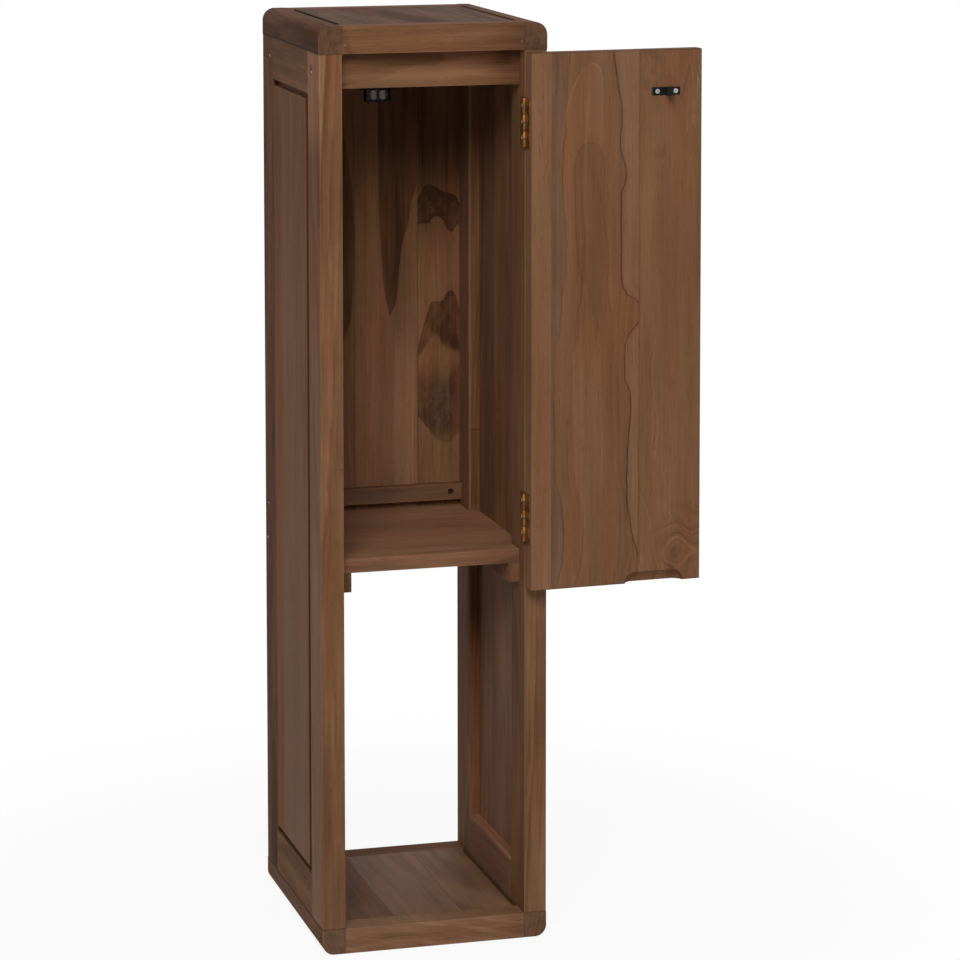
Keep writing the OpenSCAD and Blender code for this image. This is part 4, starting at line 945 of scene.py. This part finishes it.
class CABINET_OT_top_frame(bpy.types.Operator):
    """Dress the top frame and its boards"""
    bl_idname = "cabinet.top_frame"
    bl_label = "Top frame"

    def execute(self, context):
        side = dict(ring=0.006, weathered=0.45, mottle=0.5, seam=0.15, joint=0.9, rounding=0.0014)
        dress_board("top_left_rail", Y, 0.31, heart=(0.02, 0.06), tone=0.27, tint=(0.87, 0.77, 0.73), end=0.0,
                    figure=left_rail_figure, **side)
        dress_board("top_right_rail", Y, 0.74, heart=(0.01, -0.07), tone=0.40, end=0.1,
                    figure=right_end_figure, **side)
        dress_board("top_front_rail", X, 1.23, heart=(0.0, 0.05), ring=0.007, tone=0.46, seam=0.1, red=0.3,
                    rounding=0.0010, figure=top_front_figure)
        dress_board("top_back_rail", X, 1.59, heart=(0.0, 0.06), ring=0.007, tone=0.42, rounding=0.0010)
        dress_board("top_panel", Y, 2.17, heart=(-0.03, -0.10), ring=0.010, tone=0.39, weathered=0.4,
                    seam=0.9, joint=1.0, figure=top_panel_figure)
        return {"FINISHED"}


class CABINET_OT_base_frame(bpy.types.Operator):
    """Dress the base frame and the floor boards"""
    bl_idname = "cabinet.base_frame"
    bl_label = "Base frame"

    def execute(self, context):
        side = dict(ring=0.006, mottle=0.5, seam=0.15, end=0.0, rounding=0.0014)
        floor = dict(ring=0.010, wear=0.15, joint=0.2, rounding=0.0004)
        waxed = dict(gloss=0.16, polish=0.1)
        dress_board("base_left_rail", Y, 3.31, heart=(0.02, 0.06), tone=0.42, figure=left_rail_figure, **side)
        dress_board("base_right_rail", Y, 3.74, heart=(0.01, -0.07), tone=0.48, weathered=0.6,
                    figure=right_end_figure, **side)
        dress_board("base_front_rail", X, 4.23, heart=(0.0, 0.05), ring=0.008, tone=0.58, red=0.3, seam=0.1,
                    gloss=0.16, rounding=0.0014, figure=base_front_figure)
        dress_board("base_back_rail", X, 4.59, heart=(0.0, 0.06), ring=0.007, tone=0.35, rounding=0.0010)
        dress_board("floor_board_left", Y, 5.17, heart=(-0.03, -0.10), tone=0.42, tint=(0.96, 0.88, 0.80),
                    gloss=0.11, polish=0.05, figure=floor_figure, **floor)
        dress_board("floor_board_middle", Y, 5.42, heart=(0.05, -0.12), tone=0.50, figure=floor_figure,
                    **floor, **waxed)
        dress_board("floor_board_right", Y, 5.88, heart=(0.02, -0.06), tone=0.48, figure=floor_right_figure,
                    **floor, **waxed)
        return {"FINISHED"}


class CABINET_OT_sides(bpy.types.Operator):
    """Dress the stiles, rails and panels of both sides"""
    bl_idname = "cabinet.sides"
    bl_label = "Sides"

    def execute(self, context):
        own = {"left_front_stile": dict(figure=left_front_figure, seam=0.7),
               "left_side_panel": dict(figure=left_panel_figure, mottle=0.42, rings=0.15),
               "left_top_rail": dict(tone=0.31, weathered=0.6, joint=0.7),
               "left_rear_stile": dict(tone=0.20),
               "right_rear_stile": dict(figure=right_rear_figure),
               # The right side panel, bottom rail and front stile get brighter, greyer tints than the other wood:
               # painted light on the inner right wall.
               "right_side_panel": dict(figure=right_wall_figure, tint=(1.28, 1.34, 1.44)),
               "right_bottom_rail": dict(tint=(1.48, 1.60, 2.0), wear=0.6),
               "right_front_stile": dict(tint=(1.0, 1.04, 1.08))}
        for side, seed in (("left", 6.0), ("right", 7.5)):
            for piece, along, step, wood in (
                    ("front_stile", Z, 0.13, dict(heart=(0.03, 0.07), ring=0.006, tone=0.53, rounding=0.0009)),
                    ("rear_stile", Z, 0.29, dict(heart=(-0.03, 0.07), ring=0.006, tone=0.46)),
                    ("top_rail", Y, 0.41, dict(heart=(0.0, 0.08), ring=0.007, tone=0.46)),
                    ("bottom_rail", Y, 0.57, dict(heart=(0.0, 0.08), ring=0.007, tone=0.44)),
                    ("side_panel", Z, 0.73, dict(heart=(0.01, 0.13), lean=0.05, ring=0.011, tone=0.5,
                                                 weathered=0.45))):
                node = side + "_" + piece
                dress_board(node, along, seed + step, **{**wood, **own.get(node, {})})
        return {"FINISHED"}


class CABINET_OT_rails(bpy.types.Operator):
    """Dress the header, the back rails and the bearer"""
    bl_idname = "cabinet.rails"
    bl_label = "Rails"

    def execute(self, context):
        for node, seed, wood in (
                ("header_rail", 9.13, dict(ring=0.007, tone=0.49, red=0.3, figure=header_figure)),
                ("back_top_rail", 9.46, dict(ring=0.007, tone=0.4)),
                ("back_lower_rail", 9.72, dict(ring=0.006, tone=0.42, weathered=0.6, tint=(1.04, 1.07, 1.22))),
                ("shelf_bearer", 9.91, dict(ring=0.006, tone=0.4))):
            dress_board(node, X, seed, heart=(0.0, 0.07), **wood)
        return {"FINISHED"}


class CABINET_OT_back(bpy.types.Operator):
    """Dress the back boards"""
    bl_idname = "cabinet.back"
    bl_label = "Back boards"

    def execute(self, context):
        for side, seed, wood in (
                ("left", 1.13, dict(ring=0.010, tone=0.5, red=1.0, figure=back_left_figure)),
                ("middle", 1.46, dict(ring=0.006, rings=0.35, tone=0.54, red=0.6, figure=back_middle_figure)),
                ("right", 1.72, dict(ring=0.010, tone=0.50, red=1.0, figure=back_right_figure))):
            dress_board("back_board_" + side, Z, seed, heart=(0.0, 0.10), wear=0.1, joint=0.35, **wood)
        return {"FINISHED"}


class CABINET_OT_shelf(bpy.types.Operator):
    """Dress the shelf and its cleats"""
    bl_idname = "cabinet.shelf"
    bl_label = "Shelf"

    def execute(self, context):
        dress_board("shelf_panel", X, 2.13, heart=(0.02, -0.10), ring=0.009, tone=0.5, mottle=0.95, red=1.0,
                    gloss=0.25, polish=0.15, wear=0.3, figure=shelf_figure)
        dress_board("left_cleat", Y, 2.46, heart=(0.0, 0.05), ring=0.006, tone=0.35)
        dress_board("right_cleat", Y, 2.72, heart=(0.0, 0.05), ring=0.006, tone=0.6)
        return {"FINISHED"}


class CABINET_OT_door(bpy.types.Operator):
    """Dress the boards of the door"""
    bl_idname = "cabinet.door"
    bl_label = "Door"

    def execute(self, context):
        board = dict(door=True, wear=0.12, joint=0.15, mottle=0.38, red=0.45)
        dress_board("door_hinge_board", Z, 8.13, heart=(0.0, 0.20), ring=0.008, rings=0.10, tone=0.56,
                    weathered=0.2, figure=door_hinge_figure, **board)
        dress_board("door_middle_board", Z, 8.46, ring=0.009, rings=0.22, tone=0.53, weathered=0.25,
                    figure=door_middle_figure, **board)
        dress_board("door_free_board", Z, 8.72, heart=(0.0, 0.16), ring=0.009, tone=0.57, scratches=0.8,
                    weathered=0.15, figure=door_free_figure, **board)
        return {"FINISHED"}


class CABINET_OT_fittings(bpy.types.Operator):
    """Dress the hinges, the catch, the strike and the fasteners"""
    bl_idname = "cabinet.fittings"
    bl_label = "Fittings"

    def execute(self, context):
        look = context.scene.fittings
        for name, shade, metallic, roughness, wear, rounding, broken, plain in (
                ("hinge_brass", look.brass, 0.75, 0.33,
                 dict(amount=0.6, worn=(0.35, 0.28, 0.2), grime_and_shade=knuckle_soil_and_shade),
                 0.00025, ("upper_frame_leaf", "lower_frame_leaf", "hinge_pins"), ()),
                ("tarnished_brass", look.old_brass, 0.5, 0.40,
                 dict(amount=0.8, worn=(0.3, 0.25, 0.2), grime_and_shade=door_leaf_soil_tarnish_and_shade),
                 0.00025, ("upper_door_leaf", "lower_door_leaf"), ("door_leaf_screws",)),
                ("bolt_head", look.zinc, 0.3, 0.4, dict(worn=(1.3, 1.3, 1.3), grime_and_shade=bolt_head_shade),
                 None, (), ("side_bolts",)),
                ("cage_black", look.black, 0.0, 0.8, dict(worn=(0.8, 0.7, 0.6), gloss=0.03),
                 0.00015, ("catch_body", "left_roller_yoke", "right_roller_yoke"), ()),
                ("zinc_plate", look.zinc, 1.0, 0.36, dict(worn=(0.6, 0.6, 0.62)), None, (),
                 ("strike_screws", "left_roller_pin", "right_roller_pin", "left_catch_spring", "right_catch_spring")),
                # A whiter copy of the zinc for the screws in the frame leaves: painted highlights where they glint.
                ("bright_screw", look.bright, 0.2, 0.35, dict(worn=(1.3, 1.3, 1.3)),
                 None, (), ("frame_leaf_screws",)),
                # Near-black steel: partly the dark finish of the nuts and screws, partly painted shade of the holes
                # the barrel nuts sit in.
                ("dull_steel", look.steel, 0.0, 0.6, dict(gloss=0.15),
                 None, (), ("cleat_screws", "back_screws", "barrel_nuts", "catch_screws")),
                ("black_coat", look.black, 0.0, 0.62, dict(speckle=1500.0, worn=(1.6, 1.5, 1.4), gloss=0.12),
                 0.00015, ("strike",), ()),
                ("grey_nylon", look.nylon, 0.0, 0.6, dict(speckle=1200.0, gloss=0.2),
                 0.0002, ("left_roller", "right_roller"), ()),
                ("dowel_beech", look.beech, 0.0, 0.7, {}, None, (), ("frame_dowels",)),
                ("pin_tan", look.tan, 0.3, 0.5, {}, None, (), ("rail_pins",))):
            material = fitting_material(name, shade, metallic, roughness, **wear)
            for node in broken:
                dress(node, material, rounding)
            for node in plain:
                dress(node, material)
        for joint in JOINTS:
            for spring in joint.get("deforming_nodes", ()):
                self.press_spring(joint, spring)
        return {"FINISHED"}

    def press_spring(self, joint, spring):
        """Gives a catch spring a mesh of its own."""
        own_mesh(NODES[spring["node"]])


def add_object(name, data, **settings):
    piece = set_all(bpy.data.objects.new(name, data), **settings)
    bpy.context.scene.collection.objects.link(piece)
    return piece


def add_light(name, place, aim, power, size):
    lamp = bpy.data.lights.new(name, "AREA")
    set_all(lamp, shape="RECTANGLE", size=size[0], size_y=size[1], energy=power)
    turn = (Vector(aim) - Vector(place)).to_track_quat("-Z", "Y").to_euler()
    add_object(name, lamp, location=place, rotation_euler=turn)


def seen_directly(tree):
    """1 for what the camera sees, also in a mirror or through glass."""
    ways = add_node(tree, "LightPath").outputs
    seen, mirrored, through = [Field(tree, ways[f"Is {way} Ray"]) for way in ("Camera", "Glossy", "Transmission")]
    return seen.most(mirrored).most(through)


class CABINET_OT_stage(bpy.types.Operator):
    """Set up the floor, the surround, the lights and the camera"""
    bl_idname = "cabinet.stage"
    bl_label = "Stage"

    def execute(self, context):
        scene = context.scene
        look = scene.stage
        self.make_floor()
        self.make_surround(scene, look.sky)
        add_light("key", (-1.15, -3.6, 3.35), (0.0, 0.0, 0.6), look.key_power, (1.9, 1.9))
        add_light("side", (-4.0, -1.2, 1.6), (0.0, 0.0, 0.6), look.side_power, (2.0, 2.4))
        add_light("back", (2.6, 3.4, 2.2), (0.0, 0.0, 0.7), look.back_power, (2.2, 2.2))
        camera = bpy.data.cameras.new("camera")
        set_all(camera, sensor_width=36.0, lens=look.lens, shift_y=look.rise, clip_end=100.0)
        scene.camera = add_object("camera", camera, location=look.camera_place, rotation_euler=look.camera_turn)
        scene.view_settings.view_transform = "Standard"
        return {"FINISHED"}

    def make_floor(self):
        """A wide pale floor that looks white to the camera and keeps the cabinet's shadow near it."""
        mesh = bpy.data.meshes.new("floor")
        r = FLOOR_REACH
        mesh.from_pydata([(-r, -r, 0), (r, -r, 0), (r, r, 0), (-r, r, 0)], [], [(0, 1, 2, 3)])
        material, tree, shader = bare_material("pale_floor")
        shader.inputs["Base Color"].default_value = (0.9, 0.9, 0.9, 1.0)
        shader.inputs["Roughness"].default_value = 0.9
        glow = add_node(tree, "Emission", {"Color": WHITE})
        x, y, _ = split(tree, add_node(tree, "TexCoord").outputs["Object"])
        away = distance(x, y).step(0.30, 1.1, 0.90, 1.0)
        blend = add_node(tree, "MixShader", {0: seen_directly(tree) * away, 1: shader.outputs[0], 2: glow.outputs[0]})
        tree.links.new(blend.outputs[0], node_of(tree, "OUTPUT_MATERIAL").inputs["Surface"])
        mesh.materials.append(material)
        add_object("floor", mesh)

    def make_surround(self, scene, strength):
        """Even light from all round, white to the camera."""
        scene.world = bpy.data.worlds.new("surround")
        scene.world.use_nodes = True
        tree = scene.world.node_tree
        back = node_of(tree, "BACKGROUND")
        back.inputs["Color"].default_value = WHITE
        feed(tree, back.inputs["Strength"], seen_directly(tree).step(0.0, 1.0, strength, 1.0))


class CABINET_PT_finish(bpy.types.Panel):
    """Lists the steps that dress the cabinet"""
    bl_idname = "CABINET_PT_finish"
    bl_label = "Cabinet"
    bl_space_type = "VIEW_3D"
    bl_region_type = "UI"
    bl_category = "Cabinet"

    def draw(self, context):
        layout = self.layout
        for settings in (context.scene.teak, context.scene.fittings, context.scene.stage):
            column = layout.column()
            for name in settings.__annotations__:
                column.prop(settings, name)
        for step in STEPS:
            layout.operator(step.bl_idname)


SETTINGS = (("teak", TeakSettings), ("fittings", FittingSettings), ("stage", StageSettings))
STEPS = (CABINET_OT_top_frame, CABINET_OT_base_frame, CABINET_OT_sides, CABINET_OT_rails, CABINET_OT_back,
         CABINET_OT_shelf, CABINET_OT_door, CABINET_OT_fittings, CABINET_OT_stage)
CLASSES = tuple(group for _, group in SETTINGS) + STEPS + (CABINET_PT_finish,)


def register():
    for item in CLASSES:
        bpy.utils.register_class(item)
    for name, group in SETTINGS:
        setattr(bpy.types.Scene, name, bpy.props.PointerProperty(type=group))


def unregister():
    for name, _ in SETTINGS:
        delattr(bpy.types.Scene, name)
    for item in reversed(CLASSES):
        bpy.utils.unregister_class(item)


def main():
    register()
    for step in STEPS:
        group, name = step.bl_idname.split(".")
        getattr(getattr(bpy.ops, group), name)()


if __name__ == "__main__":
    main()
